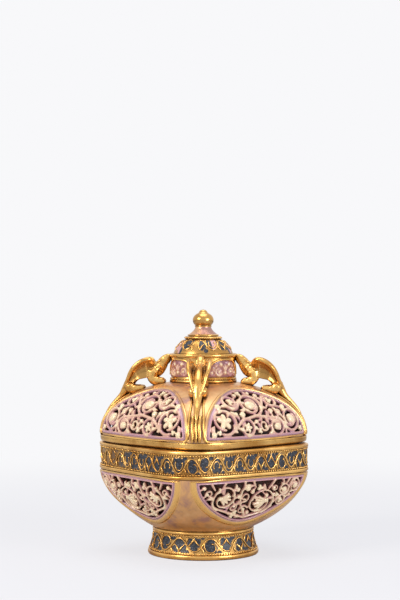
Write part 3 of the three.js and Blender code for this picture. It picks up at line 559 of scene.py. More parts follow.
class Bulge:
    """Bulging wall between the square belt and a round neck. A place on it is an angle and a share of the
    way to the neck, or arc lengths across one side and along it, with the stand over the surface."""

    def __init__(self, reach, neck, rise, fullness, z, up):
        self.reach, self.neck, self.z, self.up = reach, neck, z, up
        self.power = 2 / fullness
        self.last_turn = math.acos((neck / reach) ** (1 / self.power))
        self.height = rise / math.sin(self.last_turn) ** self.power
        self.square_reach = neck + (reach - neck) * SQUARE_SHARE
        self.steps = np.linspace(0, 1, TABLE_ROWS)
        middle = self.bare(0.0, self.steps)
        self.along_table = np.concatenate([[0], np.cumsum(np.linalg.norm(np.diff(middle, axis=0), axis=1))])
        grid = self.bare(np.linspace(0, math.pi / 2, TABLE_COLUMNS), self.steps[:, None])
        spans = np.linalg.norm(np.diff(grid, axis=1), axis=2)
        self.across_table = np.concatenate([np.zeros((TABLE_ROWS, 1)), np.cumsum(spans, axis=1)], axis=1)

    def bare(self, angle, share):
        """Points of the surface itself."""
        turn = np.clip(share, 0, 1.02) * self.last_turn
        radius = self.reach * np.cos(turn) ** self.power
        square = np.clip((radius - self.neck) / (self.square_reach - self.neck), 0, 1)
        squareness = 2 + (SQUARENESS - 2) * square * square * (3 - 2 * square)
        level = self.z + self.up * self.height * np.sin(turn) ** self.power
        return polar(radius * plan_share(angle, squareness), angle, level)

    def at(self, angle, share, stand):
        """Points at a stand over the surface."""
        step = 1e-3
        further, nearer = np.minimum(share + step, 1), np.maximum(share - step, 1e-4)
        around = self.bare(angle + step, share) - self.bare(angle - step, share)
        along = self.bare(angle, further) - self.bare(angle, nearer)
        normal = np.cross(around, along) * self.up
        normal /= np.linalg.norm(normal, axis=-1, keepdims=True)
        return self.bare(angle, share) + normal * np.asarray(stand)[..., None]

    def share_at(self, along):
        """Share of the way to the neck at an arc length along the middle of a side."""
        return np.interp(along, self.along_table, self.steps)

    def across_at(self, angle, share):
        """Arc length across the side, from its middle to an angle."""
        up = np.clip(share, 0, 1) * (TABLE_ROWS - 1)
        row = np.minimum(np.asarray(up).astype(int), TABLE_ROWS - 2)
        out = np.clip(np.abs(angle) / (math.pi / 2) * (TABLE_COLUMNS - 1), 0, TABLE_COLUMNS - 1.001)
        column = np.asarray(out).astype(int)
        rest, table = out - column, self.across_table
        near = table[row, column] * (1 - rest) + table[row, column + 1] * rest
        far = table[row + 1, column] * (1 - rest) + table[row + 1, column + 1] * rest
        return np.sign(angle) * (near * (1 - up + row) + far * (up - row))

    def angle_at(self, across, share):
        """Angle at an arc length across the side."""
        low_angle = np.zeros_like(across)
        high_angle = np.full_like(across, math.pi / 2 - 1e-6)
        for _ in range(HALVINGS):
            middle = (low_angle + high_angle) / 2
            short = self.across_at(middle, share) < np.abs(across)
            low_angle = np.where(short, middle, low_angle)
            high_angle = np.where(short, high_angle, middle)
        return np.sign(across) * (low_angle + high_angle) / 2

    def on_side(self, across, along, stand):
        """Points from arc lengths across and along one side."""
        share = self.share_at(along)
        return self.at(self.angle_at(across, share), share, stand)

    def rings(self, shares, stand):
        """Closed rings of points round the body."""
        return [self.at(full_turn(BODY_STEPS), share, stand) for share in shares]


# Dark brown glaze of the hidden walls: glossy, with the streaks of a dipped glaze
brown_glaze, tree = emptied(bpy.data.materials.new("dipped_brown_glaze"))
place = node(tree, "ShaderNodeTexCoord", out="Object")
streaks = node(tree, "ShaderNodeTexNoise", {"Vector": place, "Scale": 60.0, "Detail": 4.0})
brown = node(tree, "ShaderNodeValToRGB", {0: streaks}, [(0.35, BROWN_GLAZE), (0.7, BROWN_GLAZE_LIGHT)])
surface = node(tree, "ShaderNodeBsdfPrincipled", {"Base Color": brown, "Roughness": 0.34, "IOR": 1.5})
node(tree, "ShaderNodeOutputMaterial", {"Surface": surface})

bowl_bulge = Bulge(BODY_REACH, FOOT_NECK_RADIUS, bowl_top_z - bowl_z, BOWL_FULLNESS, bowl_top_z, -1)
liner_stand = -(OUTER_WALL + CAVITY)
liner_reach = BODY_REACH - BELT_WALL - JOINT
floor_radius = FOOT_NECK_RADIUS - OUTER_WALL - JOINT
down = np.linspace(1, LINER_SHOULDER_SHARE, 18)
shoulder = [(0, belt_z), (0, seam_z), (INNER_WALL, seam_z), (INNER_WALL, belt_z)]
rings = [
    level_ring(floor_radius, bowl_z, 2, BODY_STEPS),
    *bowl_bulge.rings(down, liner_stand),
    *[level_ring(liner_reach - inward, z, SQUARENESS, BODY_STEPS) for inward, z in shoulder],
    *bowl_bulge.rings(down[::-1], liner_stand - INNER_WALL),
    level_ring(floor_radius - INNER_WALL, bowl_z + BOWL_FLOOR, 2, BODY_STEPS),
]
fitting = ("bowl", "brown_glaze", "bowl_liner")
cast("inner_bowl", skin_over(rings, looped=False), [brown_glaze], fitting, crease=LINER_CREASE)


# Outer wall of the bowl: moulded stoneware, square with round corners, pierced by four arched openings.
# Bronze lustre covers its corners, and a burnished gold moulding follows the edge of each opening.
PANEL_SILL = 2.2
BOWL_PILASTER = 20.4
BOWL_PANEL_HEIGHT = 47.0
BOWL_ARCH_SQUARENESS = 2.0
BOWL_FRAME = 6.0
BOWL_FRAME_SWELL = 1.0
MAUVE_EDGE = 0.8
SILL_POINTS = 57
ARCH_POINTS = 64
CORNER_POINTS = 39
WALL_ROWS = 12
# Steps out from the edge of an opening over its moulding, closer where the moulding turns
FRAME_STEPS = np.array([0, 0.5, 1, 1.3, 1.5, 1.8, 2.2, 2.7, 3.2, 3.6, 3.9, 4.2, 4.4, 4.7, 5.2]) / 4.4
LUSTRE_LIGHT = "#EBC08C"
LUSTRE_BODY = "#DEAC74"
LUSTRE_MAUVE = "#B4887A"
EDGE_MAUVE = "#BE9696"


def arch_outline(bulge, pilaster, rise, squareness):
    """Edge of an arched opening as (across, along): the sill from left to right, then over the arch."""
    power = 2 / squareness
    sill_share = bulge.share_at(PANEL_SILL)
    corner = bulge.across_at(math.pi / 4, sill_share)
    widest = bulge.angle_at(corner - pilaster / 2, sill_share)
    turn = np.linspace(0, math.pi / 2, ARCH_POINTS + 1)
    along = PANEL_SILL + (rise - PANEL_SILL) * np.sin(turn) ** power
    angle = widest * np.maximum(np.cos(turn), 0) ** power
    half = np.maximum(bulge.across_at(angle, bulge.share_at(along)), 0)
    half[-1] = 0
    right = np.stack([half, along], -1)
    base = np.stack([np.linspace(-half[0], half[0], SILL_POINTS), np.full(SILL_POINTS, PANEL_SILL)], -1)
    return np.concatenate([base[:-1], right[:-1], (right[::-1] * [-1, 1])[:-1]])


def edge_normals(outline):
    """Unit normals that point out of a closed outline which runs anticlockwise, mitred at its corners."""
    ahead = np.roll(outline, -1, 0) - outline
    behind = outline - np.roll(outline, 1, 0)
    ahead /= np.linalg.norm(ahead, axis=1, keepdims=True)
    behind /= np.linalg.norm(behind, axis=1, keepdims=True)
    mean = ahead + behind
    mean /= np.linalg.norm(mean, axis=1, keepdims=True)
    normal = np.stack([mean[:, 1], -mean[:, 0]], -1)
    mitre = np.einsum("ij,ij->i", normal, np.stack([ahead[:, 1], -ahead[:, 0]], -1))
    return normal / np.maximum(mitre, 0.6)[:, None]


def arched_wall(bulge, outline, frame_width, frame_swell):
    """One quarter of a wall round its opening: points, faces, and each point's distance from the opening's
    edge. Each line of points runs from that edge to the quarter's border: the belt, a corner or the neck."""
    start_share = bulge.share_at(outline[:, 1])
    start_angle = bulge.angle_at(outline[:, 0], start_share)
    climb = np.arange(1, ARCH_POINTS + 1)
    up = np.minimum(climb / CORNER_POINTS, 1.0)
    back = np.clip((ARCH_POINTS - climb) / (ARCH_POINTS - CORNER_POINTS), 0, 1)
    goal_angle = np.concatenate([np.linspace(-1, 1, SILL_POINTS), back, -back[-2::-1]]) * math.pi / 4
    goal_share = np.concatenate([np.zeros(SILL_POINTS), up, up[-2::-1]])
    start = bulge.at(start_angle, start_share, 0.0)
    length = np.linalg.norm(bulge.at(goal_angle, goal_share, 0.0) - start, axis=1)
    near = FRAME_STEPS * frame_width
    rows = [np.minimum(step / length, step / near[-1] * 0.55) for step in near]
    rows += [rows[-1] + (1 - rows[-1]) * step for step in np.linspace(0, 1, WALL_ROWS)[1:]]
    rings = []
    for share in rows:
        angle = start_angle + (goal_angle - start_angle) * share
        level = start_share + (goal_share - start_share) * share
        over = np.clip((share * length - MAUVE_EDGE) / (frame_width - MAUVE_EDGE), 0, 1)
        rings.append(bulge.at(angle, level, np.sin(math.pi * over) ** 0.7 * frame_swell))
    rings += [bulge.at(goal_angle, goal_share, -OUTER_WALL), bulge.at(start_angle, start_share, -OUTER_WALL)]
    distances = np.concatenate([*[share * length for share in rows], length, 0 * length])
    points, faces = skin_over(rings)
    # Quarters meet along the corners, so the faces there are left out
    faces = np.array(faces)
    row, column = np.divmod(faces[:, 0], len(outline))
    beside = np.roll(goal_share, -1)
    meeting = (np.maximum(goal_share, beside) > 0) & (np.minimum(goal_share, beside) < 1)
    return points, faces[~((row == len(rings) - 3) & meeting[column])][:, ::-1], distances


def spun(points, degrees):
    """Points turned about the upright axis."""
    turn = math.radians(degrees)
    cos, sin = math.cos(turn), math.sin(turn)
    return np.asarray(points) @ np.array([[cos, sin, 0], [-sin, cos, 0], [0, 0, 1]])


def four_sided(points, faces):
    """The same quarter set on all four sides."""
    quarters = [spun(points, 90 * side) for side in range(4)]
    return np.concatenate(quarters), np.concatenate([faces + side * len(points) for side in range(4)])


def wall_shares(distance, frame_width):
    """Gilt is 1 on the gold moulding; edge is 1 on the mauve edge of an opening."""
    gilt = 1 - np.clip((distance - frame_width + 0.6) / 1.8, 0, 1)
    return gilt, 1 - np.clip((distance - MAUVE_EDGE + 0.2) / 0.3, 0, 1)


# Bronze lustre over stoneware: a thin coppery film with mauve clouds, softer than the gold beside it.
# The share named gilt says where the burnished gold moulding lies, the share named edge where the panel's
# mauve glaze runs over on to the wall, and the share named dull where the film is thick and mauve.
lustre, tree = emptied(bpy.data.materials.new("bronze_lustre"))
place = node(tree, "ShaderNodeTexCoord", out="Object")
gilt, edge, dull = [
    node(tree, "ShaderNodeAttribute", out="Fac", attribute_name=share) for share in ("gilt", "edge", "dull")
]
runs = node(tree, "ShaderNodeMapping", {"Vector": place, "Scale": (1.0, 1.0, 0.4)})
cloud = node(tree, "ShaderNodeTexNoise", {"Vector": runs, "Scale": 60.0, "Detail": 5.0, "Roughness": 0.62})
speck = node(tree, "ShaderNodeTexNoise", {"Vector": place, "Scale": 240.0, "Detail": 3.0})
thin = node(tree, "ShaderNodeMath", {0: cloud, 1: dull}, operation="SUBTRACT")
tones = [(0.34, LUSTRE_MAUVE), (0.48, LUSTRE_BODY), (0.68, LUSTRE_LIGHT)]
film = node(tree, "ShaderNodeValToRGB", {0: thin}, tones)
# The gold moulding takes the same clouds, whose paler patches are partly painted reflection
gold = node(tree, "ShaderNodeValToRGB", {0: cloud}, [(0.2, GOLD_BODY), (0.5, GOLD_PALE_AND_PAINTED_REFLECTION)])
finish = node(tree, "ShaderNodeMix", {0: gilt, 6: film, 7: gold}, out=2, data_type="RGBA")
finish = node(tree, "ShaderNodeMix", {0: edge, 6: finish, 7: linear(EDGE_MAUVE)}, out=2, data_type="RGBA")
metal = node(tree, "ShaderNodeMapRange", {"Value": gilt, "To Min": 0.75, "To Max": 1.0})
metal = node(tree, "ShaderNodeMath", {0: metal, 1: edge}, operation="SUBTRACT", use_clamp=True)
rough = node(tree, "ShaderNodeMapRange", {"Value": gilt, "To Min": 0.34, "To Max": 0.25})
sockets = {"Metallic": metal, "Roughness": rough}
# Its hollows are darkened in brown as painted shade
finished_with_painted_shade(tree, finish, (GOLD_PAINTED_SHADE, 2.2, 0.3, 0.85), (speck, 0.25, 0.3), sockets)

bowl_edge = arch_outline(bowl_bulge, BOWL_PILASTER, BOWL_PANEL_HEIGHT, BOWL_ARCH_SQUARENESS)
points, faces, distances = arched_wall(bowl_bulge, bowl_edge, BOWL_FRAME, BOWL_FRAME_SWELL)
gilt, edge = wall_shares(np.tile(distances, 4), BOWL_FRAME)
fitting = ("bowl", "bronze_lustre", "bowl_wall")
shares = {"gilt": gilt, "edge": edge}
cast("bowl_outer_wall", four_sided(points, faces), [lustre], fitting, shares, weld=True)


# Belt of the bowl: an upright band with a gilt moulding along each edge. Between two rows of beads runs the
# same vine as round the foot, over fields of slate enamel. It is made with the bowl; the lid rests on it.
BELT_ARCHES = 48
BELT_ARCH_SHARE = 0.84
BELT_STEPS = 1152
BELT_BEAD_STEPS = 480
BELT_BEAD_LEVELS = (3.9, 20.2)
BELT_FIELD_LOW = 4.9
BELT_FIELD_HIGH = 19.2
ENAMEL_STAND = 0.25
# Where the enamel gives way to a painted reflection: its angle, its spread in degrees and its share
PAINTED_REFLECTION_DEGREES = -124
PAINTED_REFLECTION_SPREAD = 17
PAINTED_REFLECTION_SHARE = 0.75
belt_middle = belt_z + (BELT_FIELD_LOW + BELT_FIELD_HIGH) / 2
belt_turn = np.linspace(0, 2 * math.pi, 2881)
belt_line = polar(BODY_REACH * plan_share(belt_turn, SQUARENESS), belt_turn, 0.0)
belt_run = np.concatenate([[0], np.cumsum(np.linalg.norm(np.diff(belt_line, axis=0), axis=1))])
belt_band = (belt_run[-1], BELT_ARCHES, (BELT_FIELD_HIGH - BELT_FIELD_LOW) / 2 * BELT_ARCH_SHARE)


def round_belt(line, stand=-0.15):
    """Bends a flat line round the belt's sunk field."""
    angle = np.interp(np.mod(line[:, 0], belt_run[-1]), belt_run, belt_turn)
    return polar((BODY_REACH + stand) * plan_share(angle, SQUARENESS), angle, belt_middle + line[:, 1])


# Each as millimetres out from the body's reach and up from the foot of the belt
belt_profile = [
    (-BELT_WALL, 0),
    (-0.4, 0),
    *roll(-0.1, 0.1, 3.1, 1.3, 9),
    (-0.2, 3.2),
    (-0.2, BELT_FIELD_LOW - 0.4),
    (-0.5, BELT_FIELD_LOW - 0.2),
    *[(-0.5, z) for z in np.linspace(BELT_FIELD_LOW, BELT_FIELD_HIGH, 30)],
    (-0.5, BELT_FIELD_HIGH + 0.2),
    (-0.2, BELT_FIELD_HIGH + 0.4),
    (-0.2, 20.9),
    *roll(-0.1, 21.0, seam_z - 0.5 - belt_z, 1.3, 9),
    (-1.0, seam_z - belt_z),
    (-BELT_WALL, seam_z - belt_z),
]
profile = [(BODY_REACH + out, belt_z + z) for out, z in belt_profile]
points, faces = turned(profile, BELT_STEPS, SQUARENESS)
x, y, z = points.T
angle = np.arctan2(y, x)
along = np.interp(np.mod(angle, 2 * math.pi), belt_turn, belt_run)
on_field = (z - belt_z > BELT_FIELD_LOW - 0.1) & (z - belt_z < BELT_FIELD_HIGH + 0.1)
# Towards the left of the belt the enamel gives way to gold, as painted reflection at a grazing angle
painted_reflection = PAINTED_REFLECTION_SHARE * np.exp(-(((np.degrees(angle) - PAINTED_REFLECTION_DEGREES) / PAINTED_REFLECTION_SPREAD) ** 2))
field = enamel_share(along, z - belt_middle, *belt_band) * on_field * (1 - painted_reflection)
points[:, :2] *= (1 + ENAMEL_STAND * field / np.hypot(x, y))[:, None]
shares = {"enamel": field, "sunk": BAND_SUNK * on_field}
cast("belt", (points, faces), [enamelled], ("bowl", "scroll_enamel", "bowl_belt"), shares)
vine_round("belt_vine", "bowl", round_belt, belt_band)
lines = [
    (level_ring(BODY_REACH, belt_z + height, SQUARENESS, BELT_BEAD_STEPS), True, 1.0)
    for height in BELT_BEAD_LEVELS
]
grown("belt_beads", "bowl", bead_row, lines, **BEADS)


# Pierced panels of the bowl: slabs of leather-hard clay, cut right through with a knife and modelled by
# hand as running scrolls round buds, with leaves in the gaps and a plain border. Each is luted into its
# opening and glazed in rose and cream over mauve.
BOWL_BORDER = 1.9
BOWL_STEM_TONE = 0.56
PANEL_DEPTH = 3.4
PANEL_TOP = 1.5
CLAY_GRAIN = 0.5
SMOOTHING = [0.55, -0.4, 0.55, -0.4, 0.4]
SPOT_SPACING = 0.6
STEM_SIDES = 10
BOSS_SIDES = 14
SCROLL_STEPS = 60
FULL_CREASE = 180
SIDES = [("front", -90, True), ("right", 0, False), ("back", 90, True), ("left", 180, False)]
# Scrolls as across, along and radius in shares of the panel, and the motif; none means one already set
BOWL_SCROLLS = {
    "near": (-0.5, 0.4, 0.196, "fan"),
    "middle": (0.2, 0.54, 0.222, "fan"),
    "low": (0.565, 0.53, 0.09, "berries"),
    "bud": (0.575, 0.29, 0.09, "bud"),
    "far": (0.79, 0.225, 0.108, "bud"),
}
BOWL_HOOK = [(0, 0.88), (-0.06, 0.74), (-0.17, 0.56), (-0.22, 0.4)]
BOWL_HOOK += [(-0.22, 0.26), (-0.17, 0.15), (-0.09, 0.14)]
# Ties over the gap at the sill: across, reach and lean in millimetres
BOWL_TIES = [(-45.5, 7.5, 4.5), (-31.0, 5.5, -2.5), (-10.5, 9.0, -0.5), (-2.0, 7.0, 3.5)]
BOWL_TIES += [(22.5, 9.5, -6.5), (31.0, 5.5, 2.0), (39.0, 5.5, -3.0)]
MAUVE = "#BC8F9E"
ROSE = "#C89292"
PEACH = "#D9AA90"
SHELL_PINK = "#ECCAA8"
CREAM = "#F5DFB6"
# Tints of the painted shade down the relief of the panels
GLAZE_HALF_SHADE = "#D2B4AA"
GLAZE_SHADE = "#7A5040"
GLAZE_DEEP_SHADE = "#3A2116"


def inside_of(spots, outline):
    """Which spots lie inside a closed outline."""
    x, y = spots[:, :1], spots[:, 1:]
    (x0, y0), (x1, y1) = outline.T, np.roll(outline, -1, 0).T
    crosses = (y0 > y) != (y1 > y)
    with np.errstate(divide="ignore", invalid="ignore"):
        where = (x1 - x0) * (y - y0) / (y1 - y0) + x0
    return (crosses & (x < where)).sum(1) % 2 == 1


def heading(angle):
    """Unit vectors at angles in the flat."""
    return np.stack([np.cos(angle), np.sin(angle)], -1)


class Clay:
    """Overlapping lumps of clay, each with a tone for its glaze, that are joined under one skin."""

    def __init__(self):
        self.points, self.faces, self.tones = [], [], []
        self.count = 0

    def add(self, shell, tone=0.5):
        """Adds one closed lump."""
        points, faces = shell
        self.points.append(points)
        self.faces += [tuple(i + self.count for i in face) for face in faces]
        self.tones.append(np.broadcast_to(tone, len(points)))
        self.count += len(points)

    def joined(self, grain):
        """Points, faces and tones of one smoothed skin of small squares over all the clay."""
        source = np.concatenate(self.points)
        mesh = bpy.data.meshes.new("clay")
        mesh.from_pydata(source.tolist(), [], self.faces)
        clay = set_up("clay", mesh)
        skin = clay.modifiers.new("skin", "REMESH")
        skin.mode = "VOXEL"
        skin.voxel_size = grain
        baked = taken_off(clay)
        points = np.empty(len(baked.vertices) * 3)
        baked.vertices.foreach_get("co", points)
        points = points.reshape(-1, 3)
        corners = np.empty(len(baked.loops), int)
        baked.loops.foreach_get("vertex_index", corners)
        faces = corners.reshape(-1, 4)
        bpy.data.meshes.remove(mesh)
        bpy.data.meshes.remove(baked)
        size, near, far = len(points), corners, np.roll(faces, -1, axis=1).ravel()
        count = np.bincount(near, minlength=size) + np.bincount(far, minlength=size)
        for pull in SMOOTHING:
            sums = [np.bincount(near, k[far], size) + np.bincount(far, k[near], size) for k in points.T]
            points = points + (np.stack(sums, -1) / count[:, None] - points) * pull
        lumps = kdtree.KDTree(len(source))
        for i, point in enumerate(source):
            lumps.insert(point, i)
        lumps.balance()
        return points, faces, np.concatenate(self.tones)[[lumps.find(point)[1] for point in points]]


class Openwork(Clay):
    """Stems, leaves and buds of one panel, laid out flat as (across, along, height). It keeps the discs that
    they cover, so that whatever fills the gaps finds its room."""

    def __init__(self, outline, depth, margin, seed, stem_tone):
        super().__init__()
        self.outline, self.depth, self.margin, self.stem_tone = outline, depth, margin, stem_tone
        self.random = np.random.default_rng(seed)
        self.inner = outline - edge_normals(outline) * margin
        spans = [np.arange(low, high, SPOT_SPACING) for low, high in zip(outline.min(0), outline.max(0))]
        spots = np.stack(np.meshgrid(*spans), -1).reshape(-1, 2)
        self.spots = spots[inside_of(spots, self.inner)]
        self.room = np.full(len(self.spots), 1e9)
        self.discs = np.empty((0, 3))
        self.cover(self.inner, 0.0)

    def cover(self, places, radii):
        """Marks discs as taken."""
        places = np.atleast_2d(places)
        radii = np.broadcast_to(radii, len(places))
        away = np.linalg.norm(self.spots[:, None] - places[None], axis=2) - radii
        self.room = np.minimum(self.room, away.min(1))
        self.discs = np.concatenate([self.discs, np.column_stack([places, radii])])

    def border(self):
        """Plain border with a fine raised inner edge."""
        profile = [
            (0.05, -self.depth, -0.5),
            (0.05, 0.1, -0.5),
            (self.margin - 1.2, 0.25, -0.45),
            (self.margin - 0.9, 0.5, 0.1),
            (self.margin - 0.4, 0.55, 0.3),
            (self.margin - 0.1, 0.2, 0.1),
            (self.margin - 0.1, -self.depth, 0.0),
        ]
        around, normals = len(self.outline), edge_normals(self.outline)
        rings = [
            np.column_stack([self.outline - normals * inward, np.full(around, height)])
            for inward, height, _ in profile
        ]
        self.add(skin_over(rings), np.repeat([tone for *_, tone in profile], around))

    def stem(self, path, half, top, tone=0.42):
        """Round-topped strap along a path; half widths and tops may change along it."""
        path = np.asarray(path, float)
        half, top = np.broadcast_to(half, len(path)), np.broadcast_to(top, len(path))
        ahead = np.gradient(path, axis=0)
        ahead /= np.maximum(np.linalg.norm(ahead, axis=1, keepdims=True), 1e-9)
        side = np.stack([-ahead[:, 1], ahead[:, 0]], -1)
        turn = full_turn(STEM_SIDES)
        wide = np.sign(np.cos(turn)) * np.abs(np.cos(turn)) ** 0.9
        bottom = 0.3 - self.depth
        flat = path[:, None] + side[:, None] * half[:, None, None] * wide[None, :, None]
        level = ((top + bottom) / 2)[:, None] + ((top - bottom) / 2)[:, None] * np.sin(turn)
        self.add(skin_over([*np.concatenate([flat, level[..., None]], -1)], looped=False), tone)
        self.cover(path[::2], half[::2])

    def boss(self, centre, long_radius, short_radius, angle, top, tone=1.0):
        """Egg-shaped boss."""
        turn = full_turn(BOSS_SIDES)[:, None]
        bottom = 0.4 - self.depth
        middle = top - min(long_radius, short_radius) * 0.75
        ahead, side = heading(angle), heading(angle + math.pi / 2)
        shape = np.cos(turn) * ahead * long_radius + np.sin(turn) * side * short_radius
        rings = []
        for lift in np.linspace(-math.pi / 2, math.pi / 2, 9)[1:-1]:
            level = middle + math.sin(lift) * ((top - middle) if lift > 0 else (middle - bottom))
            rings.append(np.column_stack([centre + shape * math.cos(lift), np.full(BOSS_SIDES, level)]))
        points, faces = skin_over(rings, looped=False)
        points[-2:, 2] = bottom, top
        self.add((points, faces), tone)
        for hand in (-1, 1):
            self.cover(centre + ahead * hand * (long_radius - short_radius) / 2, short_radius * 0.96)

    def leaf(self, base, tip, half, bend, top=1.0, tone=0.66):
        """Leaf with a sunk midrib, bent to one side."""
        chord = np.subtract(tip, base)
        across = np.array([-chord[1], chord[0]])
        share = np.linspace(0, 1, 12)[:, None]
        path = base + chord * share + across * bend * 4 * share * (1 - share)
        swell = half * np.sin(math.pi * np.clip(share[:, 0], 0.03, 0.97) ** 0.8) ** 0.8
        spread = across / max(np.linalg.norm(across), 1e-9) * swell[:, None] * 0.5
        height = top - 0.5 + 0.6 * np.sin(math.pi * share[:, 0])
        for hand in (-1, 1):
            self.stem(path + spread * hand, np.maximum(swell * 0.56, 0.35), height, tone)

    def blossom(self, centre, radius, phase, petals=5):
        """Open flower: round petals with pierced gaps between them, and a button."""
        for k in range(petals):
            angle = phase + k / petals * 2 * math.pi
            self.boss(centre + heading(angle) * radius * 0.6, radius * 0.42, radius * 0.31, angle, 1.3, 0.8)
        self.boss(centre, radius * 0.27, radius * 0.27, 0, 1.7)

    def bud(self, centre, radius, angle):
        """Bud in its calyx: an egg with a sepal wrapped round each side."""
        self.boss(centre, radius, radius * 0.84, angle, 1.3 + radius * 0.12, 0.9)
        taper = np.sin(np.linspace(0.5, math.pi - 0.2, 12))
        for hand, reach in ((1, 2.2), (-1, 1.3)):
            wrap = centre + heading(angle + math.pi + hand * np.linspace(0.1, reach, 12)) * radius * 0.95
            self.stem(wrap, radius * 0.24 * taper + 0.2, 1.2 + radius * 0.05, 0.2)

    def fan(self, centre, radius, angle, ribs=5):
        """Palmette: ribs that open like a fan from a small boss."""
        root = centre - heading(angle) * radius * 0.75
        share = np.linspace(0, 1, 8)
        for k in np.arange(ribs) - (ribs - 1) / 2:
            path = root + heading(angle + k * 0.34) * radius * (1.8 - 0.18 * abs(k)) * share[:, None]
            self.stem(path, radius * (0.08 + 0.12 * share), 0.5 + 1.0 * np.sin(math.pi * share * 0.8), 0.7)
        self.boss(root, radius * 0.34, radius * 0.3, 0, 1.6)

    def berries(self, centre, radius, angle):
        """Three berries in a cluster."""
        for k in range(3):
            place = centre + heading(angle + k * 2.1) * radius * 0.55
            self.boss(place, radius * 0.5, radius * 0.5, 0, 1.3)

    def curl(self, centre, radius, start, sense, half):
        """Small volute that ends in an eye."""
        share = np.linspace(0, 1, 22)
        turn = start + sense * share * 2 * math.pi * 1.1
        path = centre + heading(turn) * (radius * (1 - 0.62 * share**1.4))[:, None]
        self.stem(path, half * (1 - 0.35 * share), 0.9, 0.55)
        self.boss(path[-1], half * 1.1, half * 1.1, 0, 1.3)

    def scroll(self, centre, ring, start, sense, half, motif):
        """Stem that runs round in a spiral, throws off leaves where there is room and ends in a motif."""
        open_flower = motif == "blossom"
        inner = (ring - half) * (0.76 if open_flower else 0.62)
        share = np.linspace(0, 1, SCROLL_STEPS)
        angle = start + sense * share * 2 * math.pi * (1.05 if open_flower else 1.22)
        path = centre + heading(angle) * (ring - (ring - inner) * share**2.1)[:, None]
        swell = 1 + 0.16 * np.sin(share * 11 + start)
        top = 1.15 + 0.35 * np.sin(share * 8 + start)
        self.stem(path, half * (1 - 0.4 * share) * swell, top, self.stem_tone)
        getattr(self, motif)(centre, inner, angle[-1] + math.pi)
        for k in range(int(ring / 2.6)):
            i = int(self.random.uniform(4, 44))
            hand = sense if k % 3 else -sense
            way = angle[i] + sense * math.pi / 2 - hand * self.random.uniform(0.5, 1.0)
            tip = path[i] + heading(way) * self.random.uniform(2.6, 4.4) * half
            tone = self.random.uniform(0.4, 0.95)
            if inside_of(tip[None], self.inner)[0]:
                self.leaf(path[i], tip, half * 0.85, 0.16 * hand, 1.15, tone)

    def run(self, scrolls, half, sense=1, start=math.radians(250)):
        """Scrolls along one stem: it leaves each ring on a tangent and winds the other way round the next.
        The first one may be set already, and then has no motif."""
        for i, (centre, ring, motif) in enumerate(scrolls):
            if motif:
                self.scroll(centre, ring, start, sense, half, motif)
            if i + 1 < len(scrolls):
                goal, goal_ring, _ = scrolls[i + 1]
                span = np.linalg.norm(goal - centre)
                lean = math.acos(min((ring + goal_ring) / span, 1.0))
                leave = math.atan2(*(goal - centre)[::-1]) - sense * lean
                share = np.linspace(0, 1, 8)[:, None]
                leaving, landing = centre + heading(leave) * ring, goal - heading(leave) * goal_ring
                self.stem(leaving + (landing - leaving) * share, half * 0.9, 1.0)
                start = leave + math.pi
            sense = -sense

    def fill(self, least, voids, half):
        """Sets leaves, berries and volutes in the gaps, the widest first, each on its own short stalk."""
        while self.room.max() > least:
            widest = int(np.argmax(self.room))
            room, centre = self.room[widest], self.spots[widest]
            if room < least + 0.7 and self.random.random() < voids:
                self.room[np.linalg.norm(self.spots - centre, axis=1) < room] = 0
                continue
            gaps = np.linalg.norm(self.discs[:, :2] - centre, axis=1) - self.discs[:, 2]
            root = self.discs[int(np.argmin(gaps)), :2]
            way = math.atan2(*(centre - root)[::-1])
            sense = 1 if self.random.random() < 0.5 else -1
            kind = self.random.random()
            if room > 3.5:
                size = room - half - 0.9
                self.stem(np.linspace(root, centre - heading(way) * size, 6), half * 0.8, 0.7)
                self.curl(centre, size, way + math.pi, sense, half * 0.8)
            elif room > 2.4 and kind < 0.25:
                self.stem(np.linspace(root, centre, 6), half * 0.6, 0.3)
                self.berries(centre, room - 0.5, way)
            elif kind < 0.8:
                tip = centre + heading(way) * (room - 0.2)
                self.leaf(root, tip, room * 0.66, 0.2 * sense, 1.0, self.random.uniform(0.2, 0.75))
            else:
                far = centre + heading(way + 0.5 * sense) * (room + half)
                self.stem(np.linspace(root, far, 8), half * 0.75, 0.5, 0.4)
            self.room[np.linalg.norm(self.spots - centre, axis=1) < 0.7] = 0


def placed(scrolls, outline):
    """Scrolls in millimetres: centre, ring radius and motif."""
    size = outline.max(0)
    return {
        name: (np.array([across, along]) * size, radius * size[0], motif)
        for name, (across, along, radius, motif) in scrolls.items()
    }


def set_panels(body, bulge, work, turn_degrees=0.0):
    """Bends one panel onto the four sides; the front and the back are its mirror image."""
    points, faces, tones = work.joined(CLAY_GRAIN)
    # Rise is the height in the relief; it sets the glaze's painted shade
    shares = {"tone": tones, "rise": (points[:, 2] + work.depth) / (work.depth + PANEL_TOP)}
    for side, degrees, mirrored in SIDES:
        bent = bulge.on_side(-points[:, 0] if mirrored else points[:, 0], points[:, 1], points[:, 2])
        turned_out = faces[:, ::-1] if (bulge.up < 0) != mirrored else faces
        shell = (spun(bent, degrees + turn_degrees), turned_out)
        fitting = (body, "rose_glaze", f"{body}_fretwork_{side}")
        cast(f"{body}_panel_{side}", shell, [rose_lustre], fitting, shares, FULL_CREASE)


